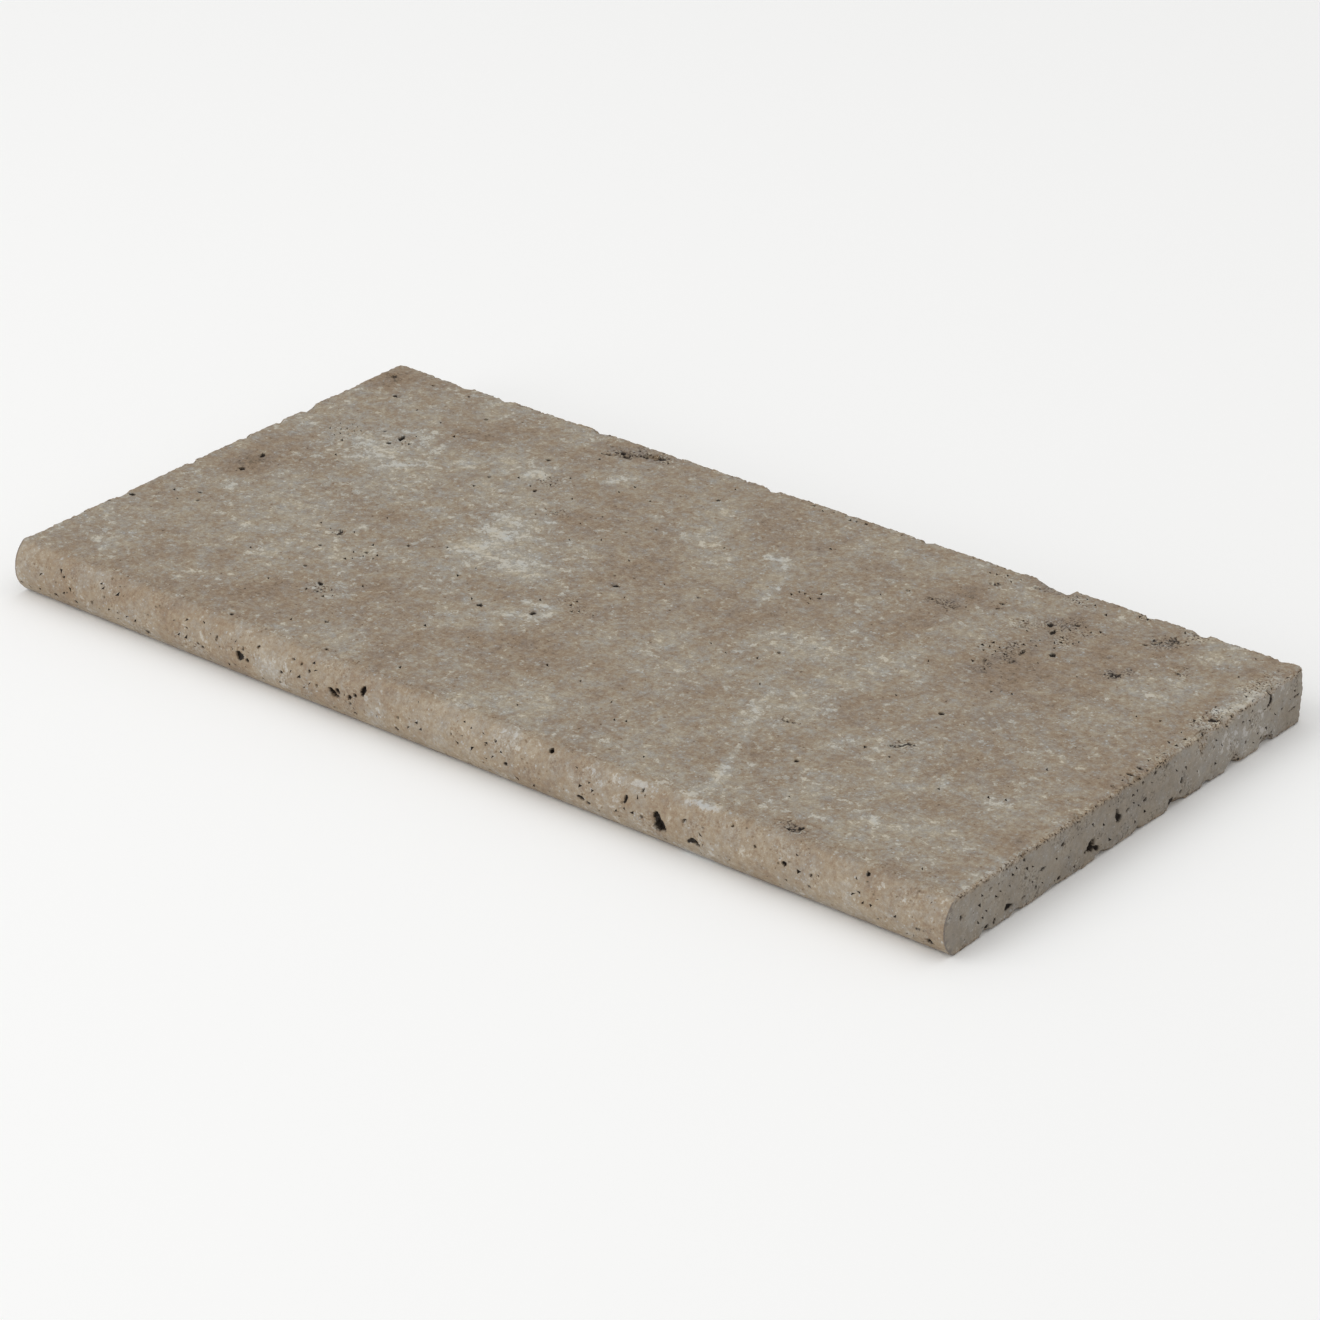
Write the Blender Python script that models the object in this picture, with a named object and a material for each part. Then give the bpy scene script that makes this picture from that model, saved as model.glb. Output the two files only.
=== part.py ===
# Pool coping stone: one slab of tumbled travertine with a rounded nose along its front edge.
# Metres, +Z up. It lies flat on its bed, the nose faces -Y, and the origin is under its middle.
import math
import random

import bmesh
import bpy
from mathutils import Matrix, Vector, noise

# Driving dimensions of the slab
STONE_LENGTH = 0.610
STONE_DEPTH = 0.305
STONE_THICKNESS = 0.030
NOSE_PROJECTION = 0.008  # how far the nose stands out past its top and bottom arrises
NOSE_SEGMENTS = 16
NOSE_ARRIS_SOFTENING = 0.0022
NOSE_ARRIS_SEGMENTS = 3
NOSE_ARRIS_TOLERANCE = 0.0001  # the nose's long arrises are told from its other edges by this

# Tumbling wear: how far each arris has been rounded back, and how much that varies along it
BACK_TOP_WEAR = 0.0021
END_TOP_WEAR = (0.0011, 0.0023)  # from the nose to the back
BED_WEAR = 0.0016
NOSE_WEAR = 0.0006
WEAR_SPREAD = 0.75
WEAR_PITCH = 0.016
WEAR_GRAIN = (0.7, 2.1, 4)  # roughness, step between octaves and number of octaves of the wear
WEAR_LEAST = 0.0004
WEAR_MOST = 0.0036
WEAR_STATION = 0.0075
WEAR_ANGLES = (30.0, 60.0)
WEAR_SEEDS = {"left": 11.0, "right": 23.0, "back_top": 31.0, "back_bed": 43.0}
WEAR_SEED_SHIFT = 7.0  # from an arris's reach across to its reach down
CUTTER_MARGIN = 0.0005

# The two back corners, rounded in plan by knocks, more at the top and bed than halfway up
CORNER_ROUNDS = {"left": 0.0030, "right": 0.0042}
CORNER_FLARE = 0.55
CORNER_SPREAD = 0.25
CORNER_STATIONS = 6
CORNER_ANGLES = (15.0, 32.5, 50.0, 67.5, 82.0)
CORNER_SEED = 57.0

# Broken surfaces of chips and pits
CHIP_ROUGHNESS = 0.45
PIT_ROUGHNESS = 0.5
FINE_BREAK = 0.0078  # a chip or pit at least this wide has four times as many facets
HOLLOW_PITCH = 1.6  # swells and dents across the radius of a hollow
CHIP_SEEDS = (2.0, 10.0, 3.1)  # of the first run, from run to run and from chip to chip
PIT_SEEDS = (1.0, 13.0, 2.3)  # of the first face, from face to face and from pit to pit

# Chips along the arrises: share along the arris, width, reach across, reach down or up, lean
TOP_BACK_CHIPS = (
    (0.054, 0.014, 0.0028, 0.0030, 0.0),
    (0.083, 0.018, 0.0044, 0.0040, 0.2),
    (0.136, 0.016, 0.0036, 0.0050, 0.6),
    (0.249, 0.010, 0.0036, 0.0032, 0.0),
    (0.338, 0.008, 0.0024, 0.0026, 0.0),
    (0.449, 0.010, 0.0048, 0.0040, 0.0),
    (0.531, 0.007, 0.0026, 0.0030, -0.3),
    (0.616, 0.008, 0.0028, 0.0026, 0.0),
    (0.766, 0.027, 0.0078, 0.0060, 0.65),
    (0.848, 0.007, 0.0052, 0.0044, 0.0),
    (0.902, 0.009, 0.0042, 0.0036, 0.3),
    (0.978, 0.007, 0.0024, 0.0030, 0.0),
)
TOP_LEFT_CHIPS = (
    (0.266, 0.012, 0.0026, 0.0024, 0.3),
    (0.439, 0.007, 0.0028, 0.0026, 0.0),
    (0.574, 0.008, 0.0030, 0.0028, 0.0),
    (0.665, 0.007, 0.0048, 0.0036, 0.0),
    (0.734, 0.013, 0.0046, 0.0040, -0.3),
    (0.870, 0.009, 0.0030, 0.0032, 0.0),
)
TOP_RIGHT_CHIPS = (
    (0.205, 0.008, 0.0026, 0.0028, 0.0),
    (0.352, 0.010, 0.0030, 0.0030, 0.2),
    (0.506, 0.009, 0.0034, 0.0030, 0.0),
    (0.608, 0.008, 0.0028, 0.0034, 0.0),
    (0.702, 0.014, 0.0042, 0.0092, 0.0),
    (0.768, 0.013, 0.0040, 0.0056, -0.2),
    (0.808, 0.009, 0.0030, 0.0032, 0.0),
    (0.905, 0.010, 0.0034, 0.0040, 0.3),
)
BED_RIGHT_CHIPS = (
    (0.112, 0.009, 0.0026, 0.0026, 0.0),
    (0.189, 0.011, 0.0026, 0.0026, 0.0),
    (0.290, 0.008, 0.0024, 0.0024, 0.0),
    (0.416, 0.012, 0.0036, 0.0034, 0.0),
    (0.520, 0.009, 0.0028, 0.0028, 0.2),
    (0.623, 0.017, 0.0040, 0.0046, -0.2),
    (0.712, 0.008, 0.0030, 0.0028, 0.0),
    (0.789, 0.016, 0.0046, 0.0064, 0.0),
    (0.893, 0.014, 0.0044, 0.0072, 0.3),
)
HIDDEN_CHIP_PITCH = 0.042  # the back and left bed arrises are chipped at about this spacing
HIDDEN_CHIP_FEWEST = 2
HIDDEN_CHIP_WIDTH = (0.006, 0.015)
HIDDEN_CHIP_REACH = (0.0024, 0.0050)
HIDDEN_CHIP_DROP = (0.8, 1.3)  # as a share of the reach
HIDDEN_CHIP_PLACE = (0.3, 0.7)  # where a chip lies in its stretch of the arris
HIDDEN_CHIP_LEAN = 0.4
HIDDEN_CHIP_SEEDS = {"left": 5, "back": 8}

# Pits: share along the face, share across it, size along, size across, depth, turn in degrees
TOP_PITS = (
    (0.015, 0.947, 0.0050, 0.0042, 0.0022, 20.0),
    (0.049, 0.881, 0.0048, 0.0038, 0.0022, 0.0),
    (0.042, 0.538, 0.0034, 0.0052, 0.0026, 10.0),
    (0.047, 0.473, 0.0046, 0.0032, 0.0024, 30.0),
    (0.115, 0.749, 0.0034, 0.0074, 0.0036, 25.0),
    (0.208, 0.384, 0.0064, 0.0050, 0.0018, 0.0),
    (0.262, 0.220, 0.0054, 0.0030, 0.0018, 15.0),
    (0.300, 0.944, 0.0150, 0.0044, 0.0024, 24.0),
    (0.320, 0.972, 0.0110, 0.0046, 0.0034, 20.0),
    (0.395, 0.327, 0.0034, 0.0038, 0.0022, 0.0),
    (0.441, 0.357, 0.0034, 0.0042, 0.0022, 40.0),
    (0.462, 0.527, 0.0042, 0.0034, 0.0028, 0.0),
    (0.712, 0.933, 0.0074, 0.0044, 0.0020, 10.0),
    (0.726, 0.321, 0.0082, 0.0030, 0.0016, 5.0),
    (0.794, 0.866, 0.0034, 0.0040, 0.0022, 0.0),
    (0.802, 0.842, 0.0032, 0.0054, 0.0024, 10.0),
    (0.815, 0.496, 0.0034, 0.0034, 0.0026, 0.0),
    (0.821, 0.370, 0.0060, 0.0120, 0.0014, 15.0),
    (0.826, 0.776, 0.0034, 0.0054, 0.0024, 20.0),
    (0.839, 0.051, 0.0090, 0.0080, 0.0012, 0.0),
    (0.879, 0.921, 0.0074, 0.0074, 0.0018, 0.0),
    (0.887, 0.780, 0.0062, 0.0062, 0.0024, 30.0),
    (0.894, 0.950, 0.0080, 0.0080, 0.0018, 40.0),
    (0.925, 0.848, 0.0042, 0.0040, 0.0018, 0.0),
    (0.988, 0.749, 0.0060, 0.0042, 0.0028, 0.0),
)
NOSE_PITS = (
    (0.048, 0.71, 0.0036, 0.0030, 0.0018, 0.0),
    (0.159, 0.74, 0.0052, 0.0034, 0.0014, 10.0),
    (0.271, 0.48, 0.0060, 0.0054, 0.0032, 20.0),
    (0.377, 0.48, 0.0072, 0.0048, 0.0040, 0.0),
    (0.409, 0.28, 0.0038, 0.0052, 0.0034, 0.0),
    (0.607, 0.10, 0.0032, 0.0032, 0.0024, 0.0),
    (0.644, 0.61, 0.0058, 0.0030, 0.0022, 10.0),
    (0.724, 0.50, 0.0066, 0.0088, 0.0046, 25.0),
    (0.756, 0.60, 0.0062, 0.0036, 0.0022, 40.0),
    (0.985, 0.77, 0.0040, 0.0034, 0.0024, 0.0),
)
RIGHT_PITS = (
    (0.046, 0.57, 0.0032, 0.0036, 0.0020, 0.0),
    (0.112, 0.14, 0.0036, 0.0032, 0.0020, 0.0),
    (0.166, 0.22, 0.0064, 0.0034, 0.0024, 10.0),
    (0.256, 0.50, 0.0040, 0.0026, 0.0018, 0.0),
    (0.387, 0.34, 0.0066, 0.0076, 0.0042, 20.0),
    (0.458, 0.56, 0.0048, 0.0072, 0.0034, 10.0),
    (0.640, 0.41, 0.0034, 0.0036, 0.0024, 0.0),
    (0.842, 0.55, 0.0030, 0.0030, 0.0018, 0.0),
)
SEEDED_PITS = {"left": 8, "back": 14, "bed": 18}
SEEDED_PIT_SEEDS = {"left": 3, "back": 4, "bed": 6}
SEEDED_PIT_SIZE = (0.0032, 0.0080)
SEEDED_PIT_DEPTH = 0.45  # as a share of the pit's lesser size
SEEDED_PIT_TURN = 90.0
SEEDED_PIT_MARGIN = 0.008
SEEDED_PIT_SPACING = 0.012
SEEDED_PIT_TRIES = 40

STONE_COLOUR = (0.296, 0.254, 0.205, 1.0)
STONE_ROUGHNESS = 0.62


def clear_scene():
    for obj in list(bpy.data.objects):
        bpy.data.objects.remove(obj, do_unlink=True)


def object_from(name, bm):
    bmesh.ops.recalc_face_normals(bm, faces=bm.faces)
    mesh = bpy.data.meshes.new(name)
    bm.to_mesh(mesh)
    bm.free()
    obj = bpy.data.objects.new(name, mesh)
    bpy.context.collection.objects.link(obj)
    return obj


def cutter_from(name, bm, cutters):
    # A cutter is a guide only: it is drawn as wire and left out of renders.
    cutter = object_from(name, bm)
    cutter.hide_render = True
    cutter.display_type = 'WIRE'
    bpy.context.collection.objects.unlink(cutter)
    cutters.objects.link(cutter)


def cut_with(stone, cutters):
    modifier = stone.modifiers.new("wear", 'BOOLEAN')
    modifier.operation = 'DIFFERENCE'
    modifier.solver = 'EXACT'
    modifier.operand_type = 'COLLECTION'
    modifier.collection = cutters


def nose_arc():
    # Arc through both nose arrises and the tip, given by its chord and how far it stands out.
    half_chord = STONE_THICKNESS / 2
    radius = (half_chord ** 2 + NOSE_PROJECTION ** 2) / (2 * NOSE_PROJECTION)
    half_angle = math.asin(half_chord / radius)
    centre = Vector((0.0, radius - STONE_DEPTH / 2, half_chord))
    return centre, radius, half_angle


def nose_point(share):
    # share 0 is the top arris of the nose and 1 its bottom arris
    centre, radius, half_angle = nose_arc()
    angle = half_angle * (1.0 - 2.0 * share)
    outward = Vector((0.0, -math.cos(angle), math.sin(angle)))
    return centre + radius * outward, outward


def section_points():
    # Cross-section in the YZ plane, from the back of the bed round the nose to the back of the top
    back = STONE_DEPTH / 2
    points = [Vector((0.0, back, 0.0))]
    for step in range(NOSE_SEGMENTS, -1, -1):
        points.append(nose_point(step / NOSE_SEGMENTS)[0])
    points.append(Vector((0.0, back, STONE_THICKNESS)))
    return points


def stone_body():
    bm = bmesh.new()
    left = Vector((-STONE_LENGTH / 2, 0.0, 0.0))
    outline = [bm.verts.new(point + left) for point in section_points()]
    section = bm.faces.new(outline)
    swept = bmesh.ops.extrude_face_region(bm, geom=[section])
    far = [item for item in swept["geom"] if isinstance(item, bmesh.types.BMVert)]
    bmesh.ops.translate(bm, verts=far, vec=Vector((STONE_LENGTH, 0.0, 0.0)))

    arris_y = NOSE_PROJECTION - STONE_DEPTH / 2
    nose_arrises = []
    for edge in bm.edges:
        a, b = (vert.co for vert in edge.verts)
        along = abs(a.x - b.x) > STONE_LENGTH / 2
        if along and abs(a.y - arris_y) < NOSE_ARRIS_TOLERANCE:
            nose_arrises.append(edge)
    bmesh.ops.bevel(bm, geom=nose_arrises, offset=NOSE_ARRIS_SOFTENING, offset_type='OFFSET',
                    segments=NOSE_ARRIS_SEGMENTS, profile=0.5, affect='EDGES', material=-1)
    return object_from("coping_stone", bm)


def wear_grain(point, seed):
    return noise.fractal(point / WEAR_PITCH + Vector((0.0, 0.0, seed)), *WEAR_GRAIN)


def worn_reaches(point, seed, base):
    # how far an arris is worn back across the one face and down the other
    grains = (wear_grain(point, seed), wear_grain(point, seed + WEAR_SEED_SHIFT))
    return [min(WEAR_MOST, max(WEAR_LEAST, base * (1.0 + WEAR_SPREAD * grain))) for grain in grains]


def wear_ring(corner, across, down, reaches, angles=WEAR_ANGLES):
    # Ring of the cutter at one station: outside the stone it is square, inside it is the worn round.
    margin = CUTTER_MARGIN
    reach_across, reach_down = reaches
    rounds = []
    for degrees in angles:
        angle = math.radians(degrees)
        rounds.append((reach_across * (1.0 - math.sin(angle)), reach_down * (1.0 - math.cos(angle))))
    first, last = rounds[0], rounds[-1]
    lead = (reach_across - first[0]) / first[1]
    trail = (reach_down - last[1]) / last[0]
    ring = [(-margin, -margin), (reach_across + margin * lead, -margin)]
    ring += rounds
    ring += [(-margin, reach_down + margin * trail)]
    return [corner + across * a + down * b for a, b in ring]


def bridge_rings(rings, closed):
    bm = bmesh.new()
    loops = []
    for ring in rings:
        verts = [bm.verts.new(point) for point in ring]
        loops.append([bm.edges.new(pair) for pair in zip(verts, verts[1:] + verts[:1])])
    for first, second in zip(loops, loops[1:]):
        bmesh.ops.bridge_loops(bm, edges=first + second)
    if closed:
        bmesh.ops.bridge_loops(bm, edges=loops[-1] + loops[0])
    else:
        for loop in (loops[0], loops[-1]):
            bmesh.ops.contextual_create(bm, geom=loop)
    return bm


def back_wear(height, base, seed):
    # Straight worn arris along the back, at the top or at the bed
    down = Vector((0.0, 0.0, -1.0 if height > STONE_THICKNESS / 2 else 1.0))
    across = Vector((0.0, -1.0, 0.0))
    half = STONE_LENGTH / 2 + 2 * CUTTER_MARGIN
    stations = math.ceil(2 * half / WEAR_STATION)
    rings = []
    for step in range(stations + 1):
        corner = Vector((-half + 2 * half * step / stations, STONE_DEPTH / 2, height))
        rings.append(wear_ring(corner, across, down, worn_reaches(corner, seed, base)))
    return bridge_rings(rings, closed=False)


def corner_wear(side, radius, seed):
    # Upright round at a back corner, from under the bed to over the top
    across, inward = Vector((-side, 0.0, 0.0)), Vector((0.0, -1.0, 0.0))
    foot, head = -2 * CUTTER_MARGIN, STONE_THICKNESS + 2 * CUTTER_MARGIN
    rings = []
    for step in range(CORNER_STATIONS + 1):
        share = step / CORNER_STATIONS
        height = foot + (head - foot) * share
        flared = radius * (1.0 + CORNER_FLARE * (2.0 * share - 1.0) ** 2)
        corner = Vector((side * STONE_LENGTH / 2, STONE_DEPTH / 2, height))
        grains = (wear_grain(corner, seed), wear_grain(corner, seed + WEAR_SEED_SHIFT))
        reaches = [flared * (1.0 + CORNER_SPREAD * grain) for grain in grains]
        rings.append(wear_ring(corner, across, inward, reaches, CORNER_ANGLES))
    return bridge_rings(rings, closed=False)


def end_path():
    # Stations round the whole section, each with its inward direction, mitred at the corners
    outline = section_points()
    path = []
    for here, there in zip(outline, outline[1:] + outline[:1]):
        pieces = max(1, round((there - here).length / WEAR_STATION))
        path += [here.lerp(there, piece / pieces) for piece in range(pieces)]
    stations = []
    for index, point in enumerate(path):
        before = (point - path[index - 1]).normalized()
        after = (path[(index + 1) % len(path)] - point).normalized()
        inward = [Vector((0.0, way.z, -way.y)) for way in (before, after)]
        mitre = (inward[0] + inward[1]).normalized()
        stations.append((point, mitre / mitre.dot(inward[0])))
    return stations


def end_wear(side, seed):
    across = Vector((-side, 0.0, 0.0))
    nose_end = NOSE_PROJECTION - STONE_DEPTH / 2
    rings = []
    for point, inward in end_path():
        corner = point + Vector((side * STONE_LENGTH / 2, 0.0, 0.0))
        share = (point.y - nose_end) / (STONE_DEPTH - NOSE_PROJECTION)
        top_wear = END_TOP_WEAR[0] + (END_TOP_WEAR[1] - END_TOP_WEAR[0]) * share
        base = top_wear if point.z > STONE_THICKNESS / 2 else BED_WEAR
        if point.y < nose_end + NOSE_ARRIS_SOFTENING:
            base = NOSE_WEAR
        rings.append(wear_ring(corner, across, inward, worn_reaches(corner, seed, base)))
    return bridge_rings(rings, closed=True)


def rough_ball(bm, place, radii, roughness, detail, seed, lean=0.0):
    # A lump with broken facets. A lean pushes its deepest point towards one end.
    made = bmesh.ops.create_icosphere(bm, subdivisions=detail, radius=1.0)
    for vert in made["verts"]:
        swell = 1.0 + roughness * noise.noise(vert.co * HOLLOW_PITCH + Vector((seed, 0.0, 0.0)))
        stretch = 1.0 - lean if vert.co.x > 0.0 else 1.0 + lean
        local = Vector((vert.co.x * radii[0] * stretch, vert.co.y * radii[1], vert.co.z * radii[2]))
        vert.co = place @ (local * swell)


def placed(origin, along, across):
    turn = Matrix((along, across, along.cross(across))).transposed().to_4x4()
    return Matrix.Translation(origin) @ turn


def chips_on(start, end, across, chips, seed):
    bm = bmesh.new()
    along = (end - start).normalized()
    for number, (share, width, reach, drop, lean) in enumerate(chips):
        place = placed(start.lerp(end, share), along, across)
        detail = 2 if width > FINE_BREAK else 1
        rough_ball(bm, place, (width / 2, reach, drop), CHIP_ROUGHNESS, detail,
                   seed + number * CHIP_SEEDS[2], lean)
    return bm


def hidden_chips(length, seed):
    draw = random.Random(seed)
    count = max(HIDDEN_CHIP_FEWEST, round(length / HIDDEN_CHIP_PITCH))
    chips = []
    for step in range(count):
        share = (step + draw.uniform(*HIDDEN_CHIP_PLACE)) / count
        reach = draw.uniform(*HIDDEN_CHIP_REACH)
        width = draw.uniform(*HIDDEN_CHIP_WIDTH)
        drop = reach * draw.uniform(*HIDDEN_CHIP_DROP)
        chips.append((share, width, reach, drop, draw.uniform(-HIDDEN_CHIP_LEAN, HIDDEN_CHIP_LEAN)))
    return chips


def pits_in(face, pits, seed):
    bm = bmesh.new()
    for number, (share, height, wide, tall, deep, turn) in enumerate(pits):
        origin, along, across = face(share, height)
        place = placed(origin, along, across) @ Matrix.Rotation(math.radians(turn), 4, 'Z')
        detail = 2 if max(wide, tall) > FINE_BREAK else 1
        rough_ball(bm, place, (wide / 2, tall / 2, deep), PIT_ROUGHNESS, detail,
                   seed + number * PIT_SEEDS[2])
    return bm


def seeded_pits(name, length, width):
    # Pits spread over a hidden face, none touching another or the worn arrises
    draw = random.Random(SEEDED_PIT_SEEDS[name])
    count = SEEDED_PITS[name]
    pits = []
    for _ in range(count * SEEDED_PIT_TRIES):
        if len(pits) == count:
            break
        margin_along, margin_across = SEEDED_PIT_MARGIN / length, SEEDED_PIT_MARGIN / width
        share = draw.uniform(margin_along, 1.0 - margin_along)
        height = draw.uniform(margin_across, 1.0 - margin_across)
        wide, tall = draw.uniform(*SEEDED_PIT_SIZE), draw.uniform(*SEEDED_PIT_SIZE)
        gaps = [math.hypot((share - other[0]) * length, (height - other[1]) * width) for other in pits]
        if all(gap > SEEDED_PIT_SPACING for gap in gaps):
            deep = SEEDED_PIT_DEPTH * min(wide, tall)
            pits.append((share, height, wide, tall, deep, draw.uniform(0.0, SEEDED_PIT_TURN)))
    return pits


def top_face(share, height):
    origin = Vector(((share - 0.5) * STONE_LENGTH, (height - 0.5) * STONE_DEPTH, STONE_THICKNESS))
    return origin, Vector((1.0, 0.0, 0.0)), Vector((0.0, 1.0, 0.0))


def bed_face(share, height):
    origin = Vector(((share - 0.5) * STONE_LENGTH, (height - 0.5) * STONE_DEPTH, 0.0))
    return origin, Vector((1.0, 0.0, 0.0)), Vector((0.0, 1.0, 0.0))


def nose_face(share, height):
    point, outward = nose_point(height)
    along = Vector((1.0, 0.0, 0.0))
    return point + along * (share - 0.5) * STONE_LENGTH, along, outward.cross(along)


def back_face(share, height):
    origin = Vector(((share - 0.5) * STONE_LENGTH, STONE_DEPTH / 2, height * STONE_THICKNESS))
    return origin, Vector((1.0, 0.0, 0.0)), Vector((0.0, 0.0, 1.0))


def end_face(side):
    def face(share, height):
        y = (share - 0.5) * STONE_DEPTH
        origin = Vector((side * STONE_LENGTH / 2, y, height * STONE_THICKNESS))
        return origin, Vector((0.0, 1.0, 0.0)), Vector((0.0, 0.0, 1.0))
    return face


def wear_arrises(cutters):
    for name, side in (("left", -1.0), ("right", 1.0)):
        cutter_from("wear_end_" + name, end_wear(side, WEAR_SEEDS[name]), cutters)
        cutter_from("wear_corner_" + name, corner_wear(side, CORNER_ROUNDS[name], CORNER_SEED), cutters)
    back_top = back_wear(STONE_THICKNESS, BACK_TOP_WEAR, WEAR_SEEDS["back_top"])
    cutter_from("wear_back_top", back_top, cutters)
    cutter_from("wear_back_bed", back_wear(0.0, BED_WEAR, WEAR_SEEDS["back_bed"]), cutters)


def chip_arrises(cutters):
    corners = {}
    for name, x in (("left", -STONE_LENGTH / 2), ("right", STONE_LENGTH / 2)):
        for level, z in (("top", STONE_THICKNESS), ("bed", 0.0)):
            corners[name, level, "front"] = Vector((x, -STONE_DEPTH / 2, z))
            corners[name, level, "back"] = Vector((x, STONE_DEPTH / 2, z))
    in_x, in_y = Vector((1.0, 0.0, 0.0)), Vector((0.0, 1.0, 0.0))
    runs = (
        ("top_back", ("left", "top", "back"), ("right", "top", "back"), in_y, TOP_BACK_CHIPS),
        ("top_left", ("left", "top", "front"), ("left", "top", "back"), in_x, TOP_LEFT_CHIPS),
        ("top_right", ("right", "top", "front"), ("right", "top", "back"), in_x, TOP_RIGHT_CHIPS),
        ("bed_right", ("right", "bed", "front"), ("right", "bed", "back"), in_x, BED_RIGHT_CHIPS),
        ("bed_left", ("left", "bed", "front"), ("left", "bed", "back"), in_x,
         hidden_chips(STONE_DEPTH, HIDDEN_CHIP_SEEDS["left"])),
        ("bed_back", ("left", "bed", "back"), ("right", "bed", "back"), in_y,
         hidden_chips(STONE_LENGTH, HIDDEN_CHIP_SEEDS["back"])),
    )
    for order, (name, start, end, across, chips) in enumerate(runs):
        seed = CHIP_SEEDS[0] + CHIP_SEEDS[1] * order
        chipped = chips_on(corners[start], corners[end], across, chips, seed)
        cutter_from("chips_" + name, chipped, cutters)


def pit_faces(cutters):
    runs = (
        ("top", top_face, TOP_PITS),
        ("nose", nose_face, NOSE_PITS),
        ("right", end_face(1.0), RIGHT_PITS),
        ("left", end_face(-1.0), seeded_pits("left", STONE_DEPTH, STONE_THICKNESS)),
        ("back", back_face, seeded_pits("back", STONE_LENGTH, STONE_THICKNESS)),
        ("bed", bed_face, seeded_pits("bed", STONE_LENGTH, STONE_DEPTH)),
    )
    for order, (name, face, pits) in enumerate(runs):
        seed = PIT_SEEDS[0] + PIT_SEEDS[1] * order
        cutter_from("pits_" + name, pits_in(face, pits, seed), cutters)


def travertine():
    material = bpy.data.materials.new("travertine")
    material.use_nodes = True
    shader = material.node_tree.nodes["Principled BSDF"]
    shader.inputs["Base Color"].default_value = STONE_COLOUR
    shader.inputs["Roughness"].default_value = STONE_ROUGHNESS
    shader.inputs["Metallic"].default_value = 0.0
    return material


clear_scene()
coping_stone = stone_body()
coping_stone.data.materials.append(travertine())
cutters = bpy.data.collections.new("cutters")
bpy.context.scene.collection.children.link(cutters)
wear_arrises(cutters)
chip_arrises(cutters)
pit_faces(cutters)
cut_with(coping_stone, cutters)
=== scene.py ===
import math
import random

import bmesh
import bpy
import numpy as np
from mathutils import Matrix, Vector, noise
from mathutils.kdtree import KDTree


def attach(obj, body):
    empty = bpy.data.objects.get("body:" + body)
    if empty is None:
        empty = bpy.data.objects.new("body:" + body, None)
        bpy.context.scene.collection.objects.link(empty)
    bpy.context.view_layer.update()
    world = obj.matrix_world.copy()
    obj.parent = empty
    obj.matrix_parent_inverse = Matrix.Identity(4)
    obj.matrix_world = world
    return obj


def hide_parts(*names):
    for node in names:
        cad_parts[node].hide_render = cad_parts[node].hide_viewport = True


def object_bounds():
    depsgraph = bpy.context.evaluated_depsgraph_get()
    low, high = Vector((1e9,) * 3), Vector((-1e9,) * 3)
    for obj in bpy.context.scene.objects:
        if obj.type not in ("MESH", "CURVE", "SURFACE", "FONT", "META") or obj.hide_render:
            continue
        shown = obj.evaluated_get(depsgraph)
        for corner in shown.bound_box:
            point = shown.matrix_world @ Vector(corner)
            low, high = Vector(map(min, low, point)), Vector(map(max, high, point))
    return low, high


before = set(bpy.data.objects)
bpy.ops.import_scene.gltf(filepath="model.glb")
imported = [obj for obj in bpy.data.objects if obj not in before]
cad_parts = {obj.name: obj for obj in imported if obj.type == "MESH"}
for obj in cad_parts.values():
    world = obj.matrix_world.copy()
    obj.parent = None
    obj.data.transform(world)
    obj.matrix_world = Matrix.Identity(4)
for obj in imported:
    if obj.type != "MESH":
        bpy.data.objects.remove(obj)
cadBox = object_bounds()
print("frame loaded")

mm = 0.001
low, high = cadBox


def toLinear(hexColour):
    # sRGB hex to linear RGBA
    channels = [int(hexColour[start:start + 2], 16) / 255 for start in (1, 3, 5)]
    linear = [c / 12.92 if c <= 0.04045 else ((c + 0.055) / 1.055) ** 2.4 for c in channels]
    return (*linear, 1.0)


def addNode(tree, kind, settings=None, links=None, out=0):
    # adds a shader node with its settings and links, and hands back one of its outputs; a kind in
    # capitals is what a Math node does
    node = tree.nodes.new("ShaderNode" + ("Math" if kind.isupper() else kind))
    if kind.isupper():
        node.operation = kind
    for key, value in (settings or {}).items():
        if key == "stops":  # a colour ramp's places and hex colours
            ramp = node.color_ramp
            ramp.elements[0].position, ramp.elements[1].position = value[0][0], value[-1][0]
            ramp.elements[0].color, ramp.elements[1].color = toLinear(value[0][1]), toLinear(value[-1][1])
            for spot, hexColour in value[1:-1]:
                ramp.elements.new(spot).color = toLinear(hexColour)
        elif isinstance(key, str) and hasattr(node, key):
            setattr(node, key, value)
        else:
            node.inputs[key].default_value = toLinear(value) if str(value)[0] == "#" else value
    for key, source in (links or {}).items():
        tree.links.new(source, node.inputs[key])
    return node.outputs[out]


# The slab: unfilled travertine, honed on top, rubbed round on the nose, sawn at the ends and the back

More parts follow.
